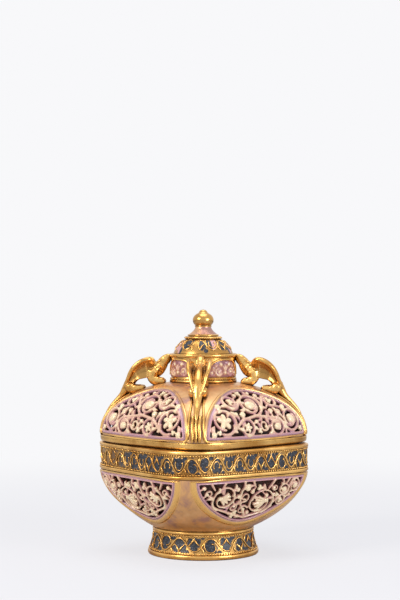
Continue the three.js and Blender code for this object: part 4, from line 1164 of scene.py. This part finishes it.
# Rose and cream glaze with a thin lustre over it: it breaks pale on the raised faces, pools mauve in the
# cuts, and has the sharp gloss of glaze. Lower down the relief and in narrow hollows it is darkened to
# brown as painted shade
rose_lustre, tree = emptied(bpy.data.materials.new("rose_and_cream_glaze"))
place = node(tree, "ShaderNodeTexCoord", out="Object")
tone, rise = [
    node(tree, "ShaderNodeAttribute", out="Fac", attribute_name=share) for share in ("tone", "rise")
]
pools = node(tree, "ShaderNodeTexNoise", {"Vector": place, "Scale": 1 / (9 * MM), "Detail": 3.0})
peel = node(tree, "ShaderNodeTexNoise", {"Vector": place, "Scale": 1 / (2.2 * MM), "Detail": 2.0})
drift = {"Value": pools, "From Min": 0.3, "From Max": 0.7, "To Min": -0.18, "To Max": 0.18}
raised = {"Value": rise, "From Min": 0.5, "From Max": 1.0, "To Min": -0.26, "To Max": 0.44}
hue = node(tree, "ShaderNodeMath", {0: tone, 1: node(tree, "ShaderNodeMapRange", drift)}, operation="ADD")
hue = node(tree, "ShaderNodeMath", {0: hue, 1: node(tree, "ShaderNodeMapRange", raised)}, operation="ADD")
tones = [(0.08, MAUVE), (0.3, ROSE), (0.52, PEACH), (0.78, SHELL_PINK), (1.0, CREAM)]
glaze = node(tree, "ShaderNodeValToRGB", {0: hue}, tones)
# Painted shade: the lower a place lies in the relief, the darker its glaze, down to brown
painted_depth_shade = [(0.05, GLAZE_DEEP_SHADE), (0.3, GLAZE_SHADE), (0.46, GLAZE_HALF_SHADE), (0.6, "#FFFFFF")]
tinted = {0: 1.0, 6: glaze, 7: node(tree, "ShaderNodeValToRGB", {0: rise}, painted_depth_shade)}
tinted = node(tree, "ShaderNodeMix", tinted, out=2, data_type="RGBA", blend_type="MULTIPLY")
sockets = {"Roughness": 0.3, "IOR": 1.5, "Coat Weight": 0.5, "Coat Roughness": 0.12}
finished_with_painted_shade(tree, tinted, (GLAZE_SHADE, 2.6, 0.08, 0.5), (peel, 0.18, 0.3), sockets)

bowl_work = Openwork(bowl_edge, PANEL_DEPTH, BOWL_BORDER, seed=7, stem_tone=BOWL_STEM_TONE)
bowl_work.border()
scrolls = placed(BOWL_SCROLLS, bowl_edge)
panel_size = bowl_edge.max(0)
# Two stems part at the crown of the arch, and a third climbs between the scrolls and hooks round a bud
crown = np.array([0.0, 0.9 * panel_size[1]])
for name, sense, start in (("near", 1, 1.9), ("middle", -1, 1.15)):
    centre, ring, motif = scrolls[name]
    landing = centre + heading(start) * ring
    ahead = heading(start + sense * math.pi / 2)
    arch = [crown, crown + [-10.0 * sense, -3.0], landing - ahead * 6.0, landing]
    share = np.linspace(0, 1, 14)[:, None]
    path = sum(math.comb(3, k) * share**k * (1 - share) ** (3 - k) * arch[k] for k in range(4))
    bowl_work.stem(path, 1.15, 1.0, BOWL_STEM_TONE)
    bowl_work.scroll(centre, ring, start, sense, 1.1, motif)
bowl_work.stem(BOWL_HOOK * panel_size, np.linspace(1.2, 0.8, 7), 1.3, 0.6)
bowl_work.boss([-0.12, 0.21] * panel_size, 3.0, 2.6, 0.4, 1.9)
middle, *others = [scrolls[name] for name in ("middle", "low", "bud", "far")]
bowl_work.run([(*middle[:2], None), *others], 0.95, sense=-1)
# The gap under the sill's border stays open, but for ties that come off it at a slant
for across, reach, lean in BOWL_TIES:
    tie = np.linspace([across, PANEL_SILL + 1.2], [across + lean, PANEL_SILL + reach], 7)
    bowl_work.stem(tie, np.linspace(1.2, 0.85, 7), 1.0, 0.45)
open_gap = np.arange(-46.0, 47.0, 2.0)
bowl_work.cover(np.column_stack([open_gap, np.full(47, PANEL_SILL + BOWL_BORDER + 1.2)]), 1.0)
bowl_work.fill(least=2.0, voids=0.5, half=1.05)
set_panels("bowl", bowl_bulge, bowl_work)


# Rim of the lid: a gilt band that swells out over the seam, which rests on the belt. Its round flange hangs
# inside the bowl and keeps the lid in place.
LID_TURN_DEGREES = 5.5
LID_SET_BACK = 1.4
FLANGE_PLAY = 1.6
FLANGE_WALL = 3.6
FLANGE_DEPTH = 6.5
FLANGE_CHAMFER = 1.2
lid_reach = BODY_REACH - LID_SET_BACK
flange_z, rim_top_z = levels("lid_rim")
dome_z, dome_top_z = levels("lid_wall")
lid_z = flange_z + FLANGE_DEPTH


def on_lid(points):
    """Turns points with the lid, which sits a little askew on the bowl."""
    return spun(points, LID_TURN_DEGREES)


flange_outer = (liner_reach - INNER_WALL) * float(plan_share(0.0, SQUARENESS)) - FLANGE_PLAY
flange_inner = flange_outer - FLANGE_WALL
rim_profile = [
    (lid_reach - 3.6, lid_z),
    (lid_reach - 3.4, lid_z + 1.0),
    *roll(lid_reach - 0.5, lid_z + 1.05, rim_top_z + 1.6, 1.25, 20)[:13],
    (lid_reach + 0.6, rim_top_z - 0.1),
    (lid_reach - 0.6, rim_top_z),
]
flange_profile = [
    (flange_inner, rim_top_z),
    (flange_inner, flange_z),
    (flange_outer - FLANGE_CHAMFER, flange_z),
    (flange_outer, flange_z + FLANGE_CHAMFER),
    (flange_outer, lid_z),
]
rings = [level_ring(reach, z, SQUARENESS, BODY_STEPS) for reach, z in rim_profile]
rings += [level_ring(reach, z, 2, BODY_STEPS) for reach, z in flange_profile]
points, faces = skin_over(rings)
cast("lid_rim_band", (on_lid(points), faces), [gilding], ("lid", "gilding", "lid_rim"))


# Inner dome of the lid: a plain thrown shell behind the pierced one, in the same dark brown glaze
LID_FULLNESS = 2.15
DRUM_RING_RADIUS = 30.4
lid_bulge = Bulge(lid_reach, DRUM_RING_RADIUS, dome_top_z - dome_z, LID_FULLNESS, dome_z, 1)
up = np.linspace(0, 1, 18)
rings = lid_bulge.rings(up[::-1], liner_stand) + lid_bulge.rings(up, liner_stand - INNER_WALL)
points, faces = skin_over(rings, looped=False)
fitting = ("lid", "brown_glaze", "lid_liner")
cast("inner_dome", (on_lid(points), faces), [brown_glaze], fitting, weld=True)


# Outer wall of the lid: moulded like the bowl's, with four arched openings. The gold of each opening's
# moulding runs along its sill and fades into bronze lustre as it climbs the arch.
LID_PILASTER = 19.5
LID_PANEL_HEIGHT = 55.0
LID_ARCH_SQUARENESS = 2.3
LID_FRAME = 3.6
LID_FRAME_SWELL = 0.9
LID_GOLD_TOP = 24.0
LID_GOLD_LOSS = 0.75
lid_edge = arch_outline(lid_bulge, LID_PILASTER, LID_PANEL_HEIGHT, LID_ARCH_SQUARENESS)
points, faces, distances = arched_wall(lid_bulge, lid_edge, LID_FRAME, LID_FRAME_SWELL)
points, faces = four_sided(points, faces)
gilt, edge = wall_shares(np.tile(distances, 4), LID_FRAME)
climb = np.clip((points[:, 2] - dome_z) / LID_GOLD_TOP, 0, 1)
shares = {"gilt": gilt * (1 - LID_GOLD_LOSS * climb * climb * (3 - 2 * climb)), "edge": edge}
fitting = ("lid", "bronze_lustre", "lid_wall")
cast("lid_outer_wall", (on_lid(points), faces), [lustre], fitting, shares, weld=True)


# Pierced panels of the lid: the same work as the bowl's, but closer, with broader stems round big buds
# and an open blossom next to each corner
LID_BORDER = 2.5
LID_STEM_TONE = 0.3
LID_SCROLLS = {
    "blossom": (-0.655, 0.325, 0.2, "blossom"),
    "flower": (-0.245, 0.205, 0.135, "blossom"),
    "great bud": (-0.025, 0.61, 0.2, "bud"),
    "long bud": (0.35, 0.2, 0.135, "bud"),
    "far": (0.68, 0.31, 0.18, "bud"),
    "leaf": (-0.385, 0.69, 0.135, "fan"),
    "high": (0.4, 0.68, 0.125, "berries"),
}
# Loose buds as across and along in shares of the panel, and radius in millimetres
LID_BUDS = [(-0.66, 0.6, 3.4), (-0.275, 0.43, 3.2), (0.6, 0.53, 3.0), (-0.88, 0.12, 2.6)]
lid_work = Openwork(lid_edge, PANEL_DEPTH, LID_BORDER, seed=11, stem_tone=LID_STEM_TONE)
lid_work.border()
scrolls = placed(LID_SCROLLS, lid_edge)
lid_work.run([scrolls[name] for name in ("blossom", "flower", "great bud", "long bud", "far")], 1.75)
for name in ("leaf", "high"):
    lid_work.run([(*scrolls["great bud"][:2], None), scrolls[name]], 1.75)
for across, along, radius in LID_BUDS:
    lid_work.boss([across, along] * lid_edge.max(0), radius, radius * 0.9, 0.5, 1.7)
lid_work.fill(least=1.8, voids=0.4, half=1.5)
set_panels("lid", lid_bulge, lid_work, LID_TURN_DEGREES)


# Ribs on the lid's corners: reeds of slip under the dragon's tail, between two strips that grow out of the
# rim, climb to the tail and end in small claws. They are trailed on and gilt.
REED_SPACING = 3.1
REED_HALF = 1.5
REED_TOP = 25.0
RIB_FOOT = 0.6
STRIP_TOP = 51.0
CLAW_LEVELS = (43.0, 47.5, 52.0)


def on_corner(quarter, sideways, along, stand):
    """Places on the lid's wall, by arc length sideways from a corner and along the wall."""
    sideways, along = np.broadcast_arrays(np.asarray(sideways, float), along)
    share = lid_bulge.share_at(along)
    corner = lid_bulge.across_at(math.pi / 4, share)
    angle = lid_bulge.angle_at(corner - np.abs(sideways), share)
    angle = math.pi / 4 + np.sign(sideways) * (math.pi / 4 - angle) + quarter * math.pi / 2
    return on_lid(lid_bulge.at(angle, share, stand))


lines = []
for quarter in range(4):
    for k in (-1, 0, 1):
        along = np.linspace(RIB_FOOT, REED_TOP - 1.5 * abs(k), 16)
        width = np.interp(along, [RIB_FOOT, 1.6, REED_TOP - 3.5, REED_TOP], [0.7, 1.0, 1.0, 0.45])
        lines.append((on_corner(quarter, k * REED_SPACING, along, 0.05), False, REED_HALF * width))
    for hand in (-1, 1):
        along = np.linspace(RIB_FOOT, STRIP_TOP, 40)
        bends = [10.6, 8.2, 7.0, 6.4, 5.2, 4.5]
        sideways = hand * np.interp(along, [RIB_FOOT, 2, 5, 18, 34, STRIP_TOP], bends)
        width = np.interp(along, [RIB_FOOT, 20, 34, STRIP_TOP], [1.3, 1.15, 0.95, 0.6])
        lines.append((on_corner(quarter, sideways, along, 0.25), False, width))
        arm = np.linspace(0, 1, 8)
        for low in CLAW_LEVELS:
            claw = on_corner(quarter, hand * (4.6 - 2.6 * arm), low + 2.2 * np.sin(2.2 * arm), 0.5)
            lines.append((claw, False, np.interp(arm, [0, 0.4, 1], [0.55, 1.0, 0.35])))
grown("corner_ribs", "lid", trailed_slip, lines, Sides=9)


# Drum of the lid: a thrown cylinder with a gilt ring and a row of beads at its foot, and another ring under
# the cap
DRUM_RADIUS = 29.0
DRUM_WALL = 4.4
DRUM_STEPS = 160
drum_z, drum_top_z = levels("lid_drum")
drum_profile = [
    (DRUM_RADIUS - DRUM_WALL, drum_z),
    *roll(DRUM_RADIUS + 0.5, drum_z + 0.02, drum_z + 2.2, 0.9),
    (DRUM_RADIUS + 0.3, drum_z + 2.4),
    (DRUM_RADIUS + 0.3, drum_z + 3.8),
    (DRUM_RADIUS, drum_z + 4.2),
    (DRUM_RADIUS, drum_top_z - 3.4),
    (DRUM_RADIUS + 0.4, drum_top_z - 3.1),
    *roll(DRUM_RADIUS + 0.4, drum_top_z - 3.0, drum_top_z - 0.02, 1.0, 9),
    (DRUM_RADIUS - DRUM_WALL, drum_top_z),
]
cast("drum", turned(drum_profile, DRUM_STEPS), [gilding], ("lid", "gilding", "lid_drum"))
lines = [(level_ring(DRUM_RADIUS + 0.4, drum_z + 3.1), True, 1.0)]
grown("drum_beads", "lid", bead_row, lines, Pitch=1.5 * MM, Radius=0.65 * MM)


# Relief plaques of the drum: thin arched slabs pressed from a mould with a palmette between scrolls, glazed
# in rose and cream, luted to the drum between the dragons and edged with a line of gilt slip
PLAQUE_WIDTH = 33.0
PLAQUE_HEIGHT = 15.4
PLAQUE_SQUARENESS = 2.6
PLAQUE_SEAT = 29.3
PLAQUE_SILL = 4.9
PLAQUE_GRAIN = 0.34
PLAQUE_POINTS = 30
MOULDING_SEAT = 29.7
turn = np.linspace(0, math.pi / 2, PLAQUE_POINTS)
half = PLAQUE_WIDTH / 2 * np.cos(turn) ** (2 / PLAQUE_SQUARENESS)
half[-1] = 0
right = np.column_stack([half, PLAQUE_HEIGHT * np.sin(turn) ** (2 / PLAQUE_SQUARENESS)])
base = np.column_stack([np.linspace(-PLAQUE_WIDTH / 2, PLAQUE_WIDTH / 2, PLAQUE_POINTS), 0 * turn])
plaque_edge = np.concatenate([base[:-1], right[:-1], (right[::-1] * [-1, 1])[:-1]])
outward = edge_normals(plaque_edge)

plaque = Openwork(plaque_edge, 1.0, 1.3, seed=5, stem_tone=0.7)
slab = [(0, -0.7), (0, 0.2), (0.5, 0.45)]
slab = [np.column_stack([plaque_edge - outward * inset, np.full(len(outward), z)]) for inset, z in slab]
plaque.add(skin_over(slab, looped=False), 0.4)
up_way = math.pi / 2
plaque.fan(np.array([0.0, 6.9]), 3.9, up_way, 3)
for hand in (-1, 1):
    plaque.scroll(np.array([6.6 * hand, 4.9]), 3.3, up_way + hand * 1.9, hand, 1.05, "bud")
    plaque.curl(np.array([12.3 * hand, 4.3]), 2.6, up_way - hand * 1.2, -hand, 0.95)
    plaque.leaf((7.6 * hand, 8.9), (11.4 * hand, 10.0), 1.4, 0.2 * hand)
    plaque.boss(np.array([4.5 * hand, 11.4]), 1.6, 1.3, up_way - hand * 0.6, 1.5)
plaque.fill(least=1.1, voids=0.0, half=0.7)
points, faces, tones = plaque.joined(PLAQUE_GRAIN)
# The plaque's ground lies low in the relief, and so takes a painted half shade
shares = {"tone": tones, "rise": np.clip(0.29 + points[:, 2] * 0.33, 0, 1)}
arch = (plaque_edge + outward * 0.3)[PLAQUE_POINTS - 1 :]


def round_drum(line, radius, degrees):
    """Bends flat places round the drum, with their middle at a side."""
    angle = line[:, 0] / DRUM_RADIUS - math.radians(degrees)
    return on_lid(polar(radius, angle, drum_z + PLAQUE_SILL + line[:, 1]))


lines = []
for side, degrees, _ in SIDES:
    shell = (round_drum(points, PLAQUE_SEAT + points[:, 2], degrees), faces)
    fitting = ("lid", "rose_glaze", f"drum_plaque_{side}")
    cast(f"plaque_{side}", shell, [rose_lustre], fitting, shares, FULL_CREASE)
    lines.append((round_drum(arch, MOULDING_SEAT, degrees), False, 0.85))
grown("plaque_mouldings", "lid", trailed_slip, lines, Sides=8)


# Cap of the drum: a hollow thrown dome, gilt, with the belt's running vine round leaf-shaped fields of slate
# enamel and rose glaze. A beaded collar ends it.
CAP_RADIUS = 26.8
CAP_RISE = 12.4
CAP_WALL = 3.0
CAP_RING_RADIUS = 16.2
CAP_RING_HEIGHT = 2.6
CAP_STEPS = 480
CAP_ROWS = 39
CAP_ARCHES = 12
CAP_SLOPE = 16.6
CAP_ARCH = 5.2
CAP_BAND_MIDDLE = 0.53
CAP_SUNK = 0.4
cap_z, cap_top_z = levels("lid_cap")
cap_length = math.pi * (CAP_RADIUS + CAP_RING_RADIUS)
cap_band = (cap_length, CAP_ARCHES, CAP_ARCH)


def cap_curve(share):
    """Radius and height of the cap's dome at a share of its arc."""
    radius = CAP_RADIUS + (CAP_RING_RADIUS - 0.6 - CAP_RADIUS) * share**1.25
    return radius, cap_z + CAP_RISE * np.sin(share * math.radians(74)) / math.sin(math.radians(74))


def round_cap(line):
    """Bends a flat line round the cap's dome."""
    radius, z = cap_curve(CAP_BAND_MIDDLE + line[:, 1] / CAP_SLOPE)
    return polar(radius, line[:, 0] / cap_length * 2 * math.pi, z)


dome_shares = np.linspace(0, 1, CAP_ROWS + 1)[:-1]
cap_profile = [
    (CAP_RING_RADIUS - CAP_WALL, cap_z + CAP_RISE - CAP_WALL),
    (CAP_RADIUS - CAP_WALL, cap_z),
    *zip(*cap_curve(dome_shares)),
    *roll(CAP_RING_RADIUS - 0.5, cap_top_z - CAP_RING_HEIGHT + 0.1, cap_top_z, 0.9, 8),
]
points, faces = turned(cap_profile, CAP_STEPS, looped=False)
share = np.full(len(points), -9.0)
share[2 * CAP_STEPS : (2 + CAP_ROWS) * CAP_STEPS] = np.repeat(dome_shares, CAP_STEPS)
along = np.mod(np.arctan2(points[:, 1], points[:, 0]) / (2 * math.pi), 1) * cap_length
field = enamel_share(along, (share - CAP_BAND_MIDDLE) * CAP_SLOPE, *cap_band)
# Each half of a field is slate, rose or left gold
half_field = np.floor(2 * along / cap_length * CAP_ARCHES)
rosy, left_gold = uneven(half_field, 0.4) > 0.62, uneven(half_field, 2.6) < 0.3
shares = {"enamel": field * ~rosy * ~left_gold, "rose": field * rosy * 0.8, "sunk": CAP_SUNK * (share >= 0)}
cast("cap", (points, faces), [enamelled], ("lid", "scroll_enamel", "lid_cap"), shares)
vine_round("cap_vine", "lid", round_cap, cap_band)
lines = [(level_ring(CAP_RING_RADIUS + 0.45, cap_top_z - CAP_RING_HEIGHT / 2), True, 1.0)]
grown("cap_beads", "lid", bead_row, lines, Pitch=1.35 * MM, Radius=0.6 * MM)


# Finial: a hollow-sided spire in bronze lustre, with a gilt ring at its foot, a gilt ball and a small nib. It
# is thrown in one.
SPIRE_FOOT_RADIUS = 14.4
SPIRE_RISE = 9.1
SPIRE_RADIUS = 7.2
KNOB_RADIUS = 9.5
KNOB_HEIGHT = 12.0
FINIAL_STEPS = 96
SPIRE_DULL = 0.17
KNOB_SUNK = 0.3
spire_z, finial_top_z = levels("finial")
knob_z = spire_z + SPIRE_RISE
nib_z = knob_z + KNOB_HEIGHT
share = np.linspace(0, 1, 22)
sweep = SPIRE_RADIUS + (SPIRE_FOOT_RADIUS - 1.6 - SPIRE_RADIUS) * (1 - share) ** 1.7
latitude = np.linspace(-0.66, 0.86, 24)
ball_levels = knob_z + 0.5 + (KNOB_HEIGHT - 0.3) * (latitude + 0.66) / 1.63
finial_profile = [
    (SPIRE_FOOT_RADIUS - 1.0, spire_z),
    *roll(SPIRE_FOOT_RADIUS - 1.0, spire_z + 0.1, spire_z + 1.5, 0.8),
    *zip(sweep, spire_z + 1.6 + share * (SPIRE_RISE - 2.5)),
    *roll(SPIRE_RADIUS - 0.1, knob_z - 0.8, knob_z + 0.4, 0.6),
    *zip(KNOB_RADIUS * np.sqrt(1 - (0.99 * latitude) ** 2), ball_levels),
    *[(radius, nib_z + z) for radius, z in ((4.0, 0.1), (3.7, 0.7), (3.4, 1.3), (2.8, 1.9), (2.0, 2.4))],
    (1.0, finial_top_z - 0.15),
]
points, faces = turned(finial_profile, FINIAL_STEPS, looped=False)
points[-1, 2] = finial_top_z
on_spire = (points[:, 2] > spire_z + 1.55) & (points[:, 2] < knob_z - 0.85)
sides = np.array(faces[: -2 * FINIAL_STEPS])[:, 0]
finish_of_face = np.concatenate([~on_spire[sides], np.zeros(FINIAL_STEPS), np.ones(FINIAL_STEPS)])
shares = {"dull": SPIRE_DULL * on_spire, "sunk": KNOB_SUNK * (points[:, 2] > knob_z)}
fitting = ("lid", "gilding", "finial")
finishes = [lustre, gilding]
cast("finial_turned", (points, faces), finishes, fitting, shares, finish_of_face=finish_of_face)


# Dragon handles: four winged dragons modelled by hand and gilt, one on each corner of the lid. Each rests
# its snout on the drum's top ring, grips the wall with its paws and trails its tail down the corner.
DRAGON_GRAIN = 0.42
WING_SPREAD = 8.2
WING_HALF = 0.75
WING_CUP = 2.2
FORELEG_SPREAD = 4.2
HIND_LEG_SPREAD = 4.9
TOE_SPACING = 1.5
LIMB_SIDES = 14
BALL_SIDES = 16
CORNERS = [("front_right", -45), ("back_right", 45), ("back_left", 135), ("front_left", -135)]
# Stations: share of the way from the drum to the rim, height over the lid as a share of the drum's
# height, half width and half depth
SPINE = [
    (0.08, 0.73, 3.7, 4.4),
    (0.125, 0.63, 4.4, 5.8),
    (0.18, 0.54, 5.0, 7.0),
    (0.25, 0.52, 5.2, 7.2),
    (0.34, 0.56, 5.0, 6.2),
    (0.43, 0.6, 4.8, 5.4),
    (0.53, 0.52, 4.8, 4.8),
    (0.59, 0.375, 4.8, 4.8),
    (0.64, 0.22, 4.4, 4.4),
    (0.69, 0.12, 3.6, 3.4),
    (0.755, 0.07, 3.0, 2.8),
    (0.815, 0.055, 2.6, 2.4),
    (0.865, 0.045, 2.2, 2.0),
    (0.905, 0.045, 1.6, 1.5),
    (0.925, 0.08, 1.0, 1.0),
    (0.935, 0.13, 0.6, 0.6),
]
FORELEG = [
    (0.24, 0.5, 3.4, 5.2),
    (0.25, 0.3, 3.4, 4.8),
    (0.205, 0.13, 3.4, 4.2),
    (0.14, 0.07, 3.2, 3.9),
    (0.08, 0.02, 2.6, 3.0),
]
HIND_LEG = [
    (0.585, 0.32, 3.4, 4.6),
    (0.56, 0.17, 3.4, 4.4),
    (0.5, 0.08, 3.4, 4.2),
    (0.44, 0.04, 3.2, 3.7),
    (0.385, -0.01, 2.7, 3.0),
]
# Lumps on each side: way, height and millimetres sideways, with the radii and the tilt
LUMPS = {
    "haunch": (0.575, 0.26, HIND_LEG_SPREAD - 0.6, (4.4, 2.9, 4.2), -0.7),
    "hock": (0.5, 0.15, HIND_LEG_SPREAD + 0.6, (2.8, 2.7, 2.6), 0.0),
    "fold on the haunch": (0.55, 0.22, HIND_LEG_SPREAD + 1.6, (1.8, 1.6, 2.4), -0.8),
    "shoulder": (0.23, 0.46, FORELEG_SPREAD - 0.2, (3.6, 2.5, 4.4), 0.2),
    "elbow": (0.255, 0.24, FORELEG_SPREAD + 0.4, (2.6, 2.6, 2.8), 0.3),
    "wrist": (0.175, 0.15, FORELEG_SPREAD + 0.4, (3.2, 2.9, 3.1), 0.0),
    "paw": (0.115, 0.11, FORELEG_SPREAD + 0.3, (2.4, 2.4, 2.4), 0.0),
    "neck lock": (0.165, 0.6, 3.6, (3.0, 2.2, 2.8), -0.6),
}
# Wing stations: leading edge and root, each as way, height and share of the spread
WING = [
    ((0.22, 0.76, 0.62), (0.215, 0.5, 0.56)),
    ((0.265, 0.91, 0.84), (0.255, 0.4, 0.66)),
    ((0.315, 0.97, 1.06), (0.3, 0.35, 0.74)),
    ((0.385, 0.985, 1.14), (0.355, 0.34, 0.78)),
    ((0.455, 0.95, 1.14), (0.405, 0.36, 0.8)),
    ((0.52, 0.865, 1.06), (0.455, 0.375, 0.78)),
    ((0.565, 0.745, 0.88), (0.5, 0.36, 0.68)),
    ((0.6, 0.6, 0.74), (0.545, 0.3, 0.62)),
    ((0.635, 0.46, 0.56), (0.585, 0.24, 0.52)),
    ((0.665, 0.33, 0.36), (0.62, 0.19, 0.38)),
]


def over_corner(way, height, sideways):
    """Place over the corner of the lid, before the dragon is turned to its corner."""
    way, height, sideways = np.broadcast_arrays(way, height, sideways)
    out = DRUM_RING_RADIUS + (lid_reach - DRUM_RING_RADIUS) * way
    sunk = np.maximum(1 - (out / lid_reach) ** LID_FULLNESS, 0) ** (1 / LID_FULLNESS)
    level = dome_z + lid_bulge.height * sunk + height * (drum_top_z - drum_z)
    return np.stack([out, sideways, level], -1)


def through(stations, steps=8):
    """Smooth run of values through stations."""
    stations = np.asarray(stations, float)
    ends = np.concatenate([[2 * stations[0] - stations[1]], stations, [2 * stations[-1] - stations[-2]]])
    run = []
    for a, b, c, d in zip(ends, ends[1:], ends[2:], ends[3:]):
        for t in np.arange(steps) / steps:
            bend = (2 * a - 5 * b + 4 * c - d) * t**2 + (3 * b - a - 3 * c + d) * t**3
            run.append(0.5 * (2 * b + (c - a) * t + bend))
    return np.array([*run, stations[-1]])


class Figure(Clay):
    """Modelled figure: limbs and lumps in space."""

    def limb(self, path, half_widths, half_depths):
        """Oval limb along a path that runs mostly in the figure's middle plane."""
        path = np.asarray(path, float)
        half_widths = np.broadcast_to(half_widths, len(path))
        half_depths = np.broadcast_to(half_depths, len(path))
        ahead = np.gradient(path, axis=0)
        ahead /= np.linalg.norm(ahead, axis=1, keepdims=True)
        down = np.cross(ahead, [0.0, 1.0, 0.0])
        down /= np.linalg.norm(down, axis=1, keepdims=True)
        across = np.cross(down, ahead)
        turn = full_turn(LIMB_SIDES)[:, None]
        rings = [
            path[i] + np.cos(turn) * across[i] * half_widths[i] + np.sin(turn) * down[i] * half_depths[i]
            for i in range(len(path))
        ]
        tips = [
            path[i] + (rings[i] - path[i]) * 0.6 + outward * ahead[i] * half_depths[i] * 0.35
            for i, outward in ((0, -1), (-1, 1))
        ]
        self.add(skin_over([tips[0], *rings, tips[1]], looped=False))

    def ball(self, centre, radii, tilt=0.0):
        """Egg tilted in the figure's middle plane."""
        turn = full_turn(BALL_SIDES)[:, None]
        ahead = np.array([math.cos(tilt), 0.0, math.sin(tilt)])
        high = np.array([-math.sin(tilt), 0.0, math.cos(tilt)])
        flat = np.cos(turn) * ahead * radii[0] + np.sin(turn) * np.array([0.0, 1.0, 0.0]) * radii[1]
        lifts = np.linspace(-math.pi / 2, math.pi / 2, 11)[1:-1]
        rings = [centre + flat * math.cos(lift) + high * radii[2] * math.sin(lift) for lift in lifts]
        self.add(skin_over(rings, looped=False))


dragon = Figure()
way, height, width, depth = through(SPINE).T
dragon.limb(over_corner(way, height, 0.0), width, depth)

# Head and neck: a blunt snout pressed on the drum, brows, ears laid back and a ruff of locks
snout = over_corner(0.02, 0.87, 0.0)
nape = over_corner(0.14, 0.68, 0.0)
tilt = math.atan2(nape[2] - snout[2], nape[0] - snout[0])
dragon.ball(snout * 0.5 + nape * 0.5, (8.0, 4.1, 4.8), tilt)
dragon.ball(snout * 0.9 + nape * 0.1, (4.4, 3.2, 3.8), tilt)
for hand in (-1, 1):
    dragon.ball(over_corner(0.085, 0.9, 2.2 * hand), (2.0, 1.1, 1.2), tilt)
    dragon.ball(over_corner(0.035, 0.955, 1.5 * hand), (1.1, 0.9, 0.9), tilt)
    way, height, side = through([(0.11, 0.85, 2.8), (0.145, 0.82, 3.5), (0.175, 0.77, 3.3)], 5).T
    dragon.limb(over_corner(way, height, side * hand), np.linspace(0.9, 0.5, 11), np.linspace(1.3, 0.5, 11))
    for k in range(4):
        lock = through([(0.13, 0.74 - 0.05 * k, 1.4 + k), (0.165, 0.68 - 0.06 * k, 2.2 + k)], 6)
        way, height, side = np.concatenate([lock, [[0.185, lock[-1, 1] - 0.05, lock[-1, 2] + 0.3]]]).T
        dragon.limb(over_corner(way, height, side * hand), 1.0, 1.1)

for hand in (-1, 1):
    # Legs, each with three toes that grip the wall
    for stations, spread in ((FORELEG, FORELEG_SPREAD), (HIND_LEG, HIND_LEG_SPREAD)):
        way, height, width, depth = through(stations).T
        dragon.limb(over_corner(way, height, spread * hand), width, depth)
        for k in (-1, 0, 1):
            side = (spread + k * TOE_SPACING) * hand
            toe = over_corner(way[-1] + np.array([0.04, 0.005, -0.015]), np.array([0.09, 0.08, 0.03]), side)
            dragon.limb(through(toe, 4), 0.85, np.linspace(1.3, 0.8, 9))
    for way, height, side, radii, lean in LUMPS.values():
        dragon.ball(over_corner(way, height, side * hand), radii, lean)

    # Wing: a cupped membrane between a thick leading edge and the back, with two faint fingers
    edge, root = [
        over_corner(way, height, side * WING_SPREAD * hand)
        for way, height, side in (through(stations, 6).T for stations in zip(*WING))
    ]
    share = np.linspace(0, 1, 9)[None, :, None]
    cup = np.sin(math.pi * share) * np.array([0.0, -WING_CUP * hand, 0.0])
    cup = cup * np.sin(np.linspace(0.5, 2.6, len(edge)))[:, None, None]
    membrane = edge[:, None] * share + root[:, None] * (1 - share) + cup
    face = np.cross(np.gradient(membrane, axis=0), np.gradient(membrane, axis=1))
    face *= WING_HALF / np.linalg.norm(face, axis=2, keepdims=True)
    both_faces = np.concatenate([membrane + face, (membrane - face)[:, ::-1]], axis=1)
    dragon.add(skin_over([*both_faces], looped=False), 1.0)
    thick = np.interp(np.linspace(0, 1, len(edge)), [0, 0.15, 0.7, 1], [1.4, 2.0, 1.9, 1.2])
    dragon.limb(edge, thick * 0.9, thick)
    for k in (14, 30):
        finger = membrane[k] + np.array([0.0, 0.35 * hand, 0.0])
        dragon.limb(finger, np.linspace(0.5, 0.8, 9), np.linspace(0.5, 0.9, 9))

# Back and tail: a crest between the wings, a knot on the rump and paired ridges that run down the tail
way, height = through([(0.2, 0.74), (0.3, 0.78), (0.42, 0.79), (0.52, 0.7), (0.58, 0.54)]).T
dragon.limb(over_corner(way, height, 0.0), 1.0, 1.3)
knot = over_corner(0.62, 0.4, 0.0)
dragon.ball(knot, (3.3, 3.3, 2.6), -0.9)
dragon.ball(knot + np.array([1.6, 0.0, 1.3]), (1.5, 1.5, 1.5))
way, height = through([(0.63, 0.33), (0.69, 0.22), (0.755, 0.155), (0.815, 0.125), (0.865, 0.1)], 10).T
knuckle = 1.0 + 0.3 * np.sin(np.linspace(0, 4 * math.pi, len(way)))
side = np.linspace(1.5, 0.9, len(way)) * (0.85 + 0.2 * knuckle)
for hand in (-1, 1):
    dragon.limb(over_corner(way, height, side * hand), 0.75 * knuckle, 0.85 * knuckle)

points, faces, tones = dragon.joined(DRAGON_GRAIN)
# The membranes were given a tone of their own, and are painted browner as painted shade in their cups
shares = {"sunk": 1.3 * (tones - 0.5)}
for corner, degrees in CORNERS:
    shell = (on_lid(spun(points, degrees)), faces)
    fitting = ("lid", "gilding", f"dragon_handle_{corner}")
    cast(f"dragon_{corner}", shell, [gilding], fitting, shares, FULL_CREASE)
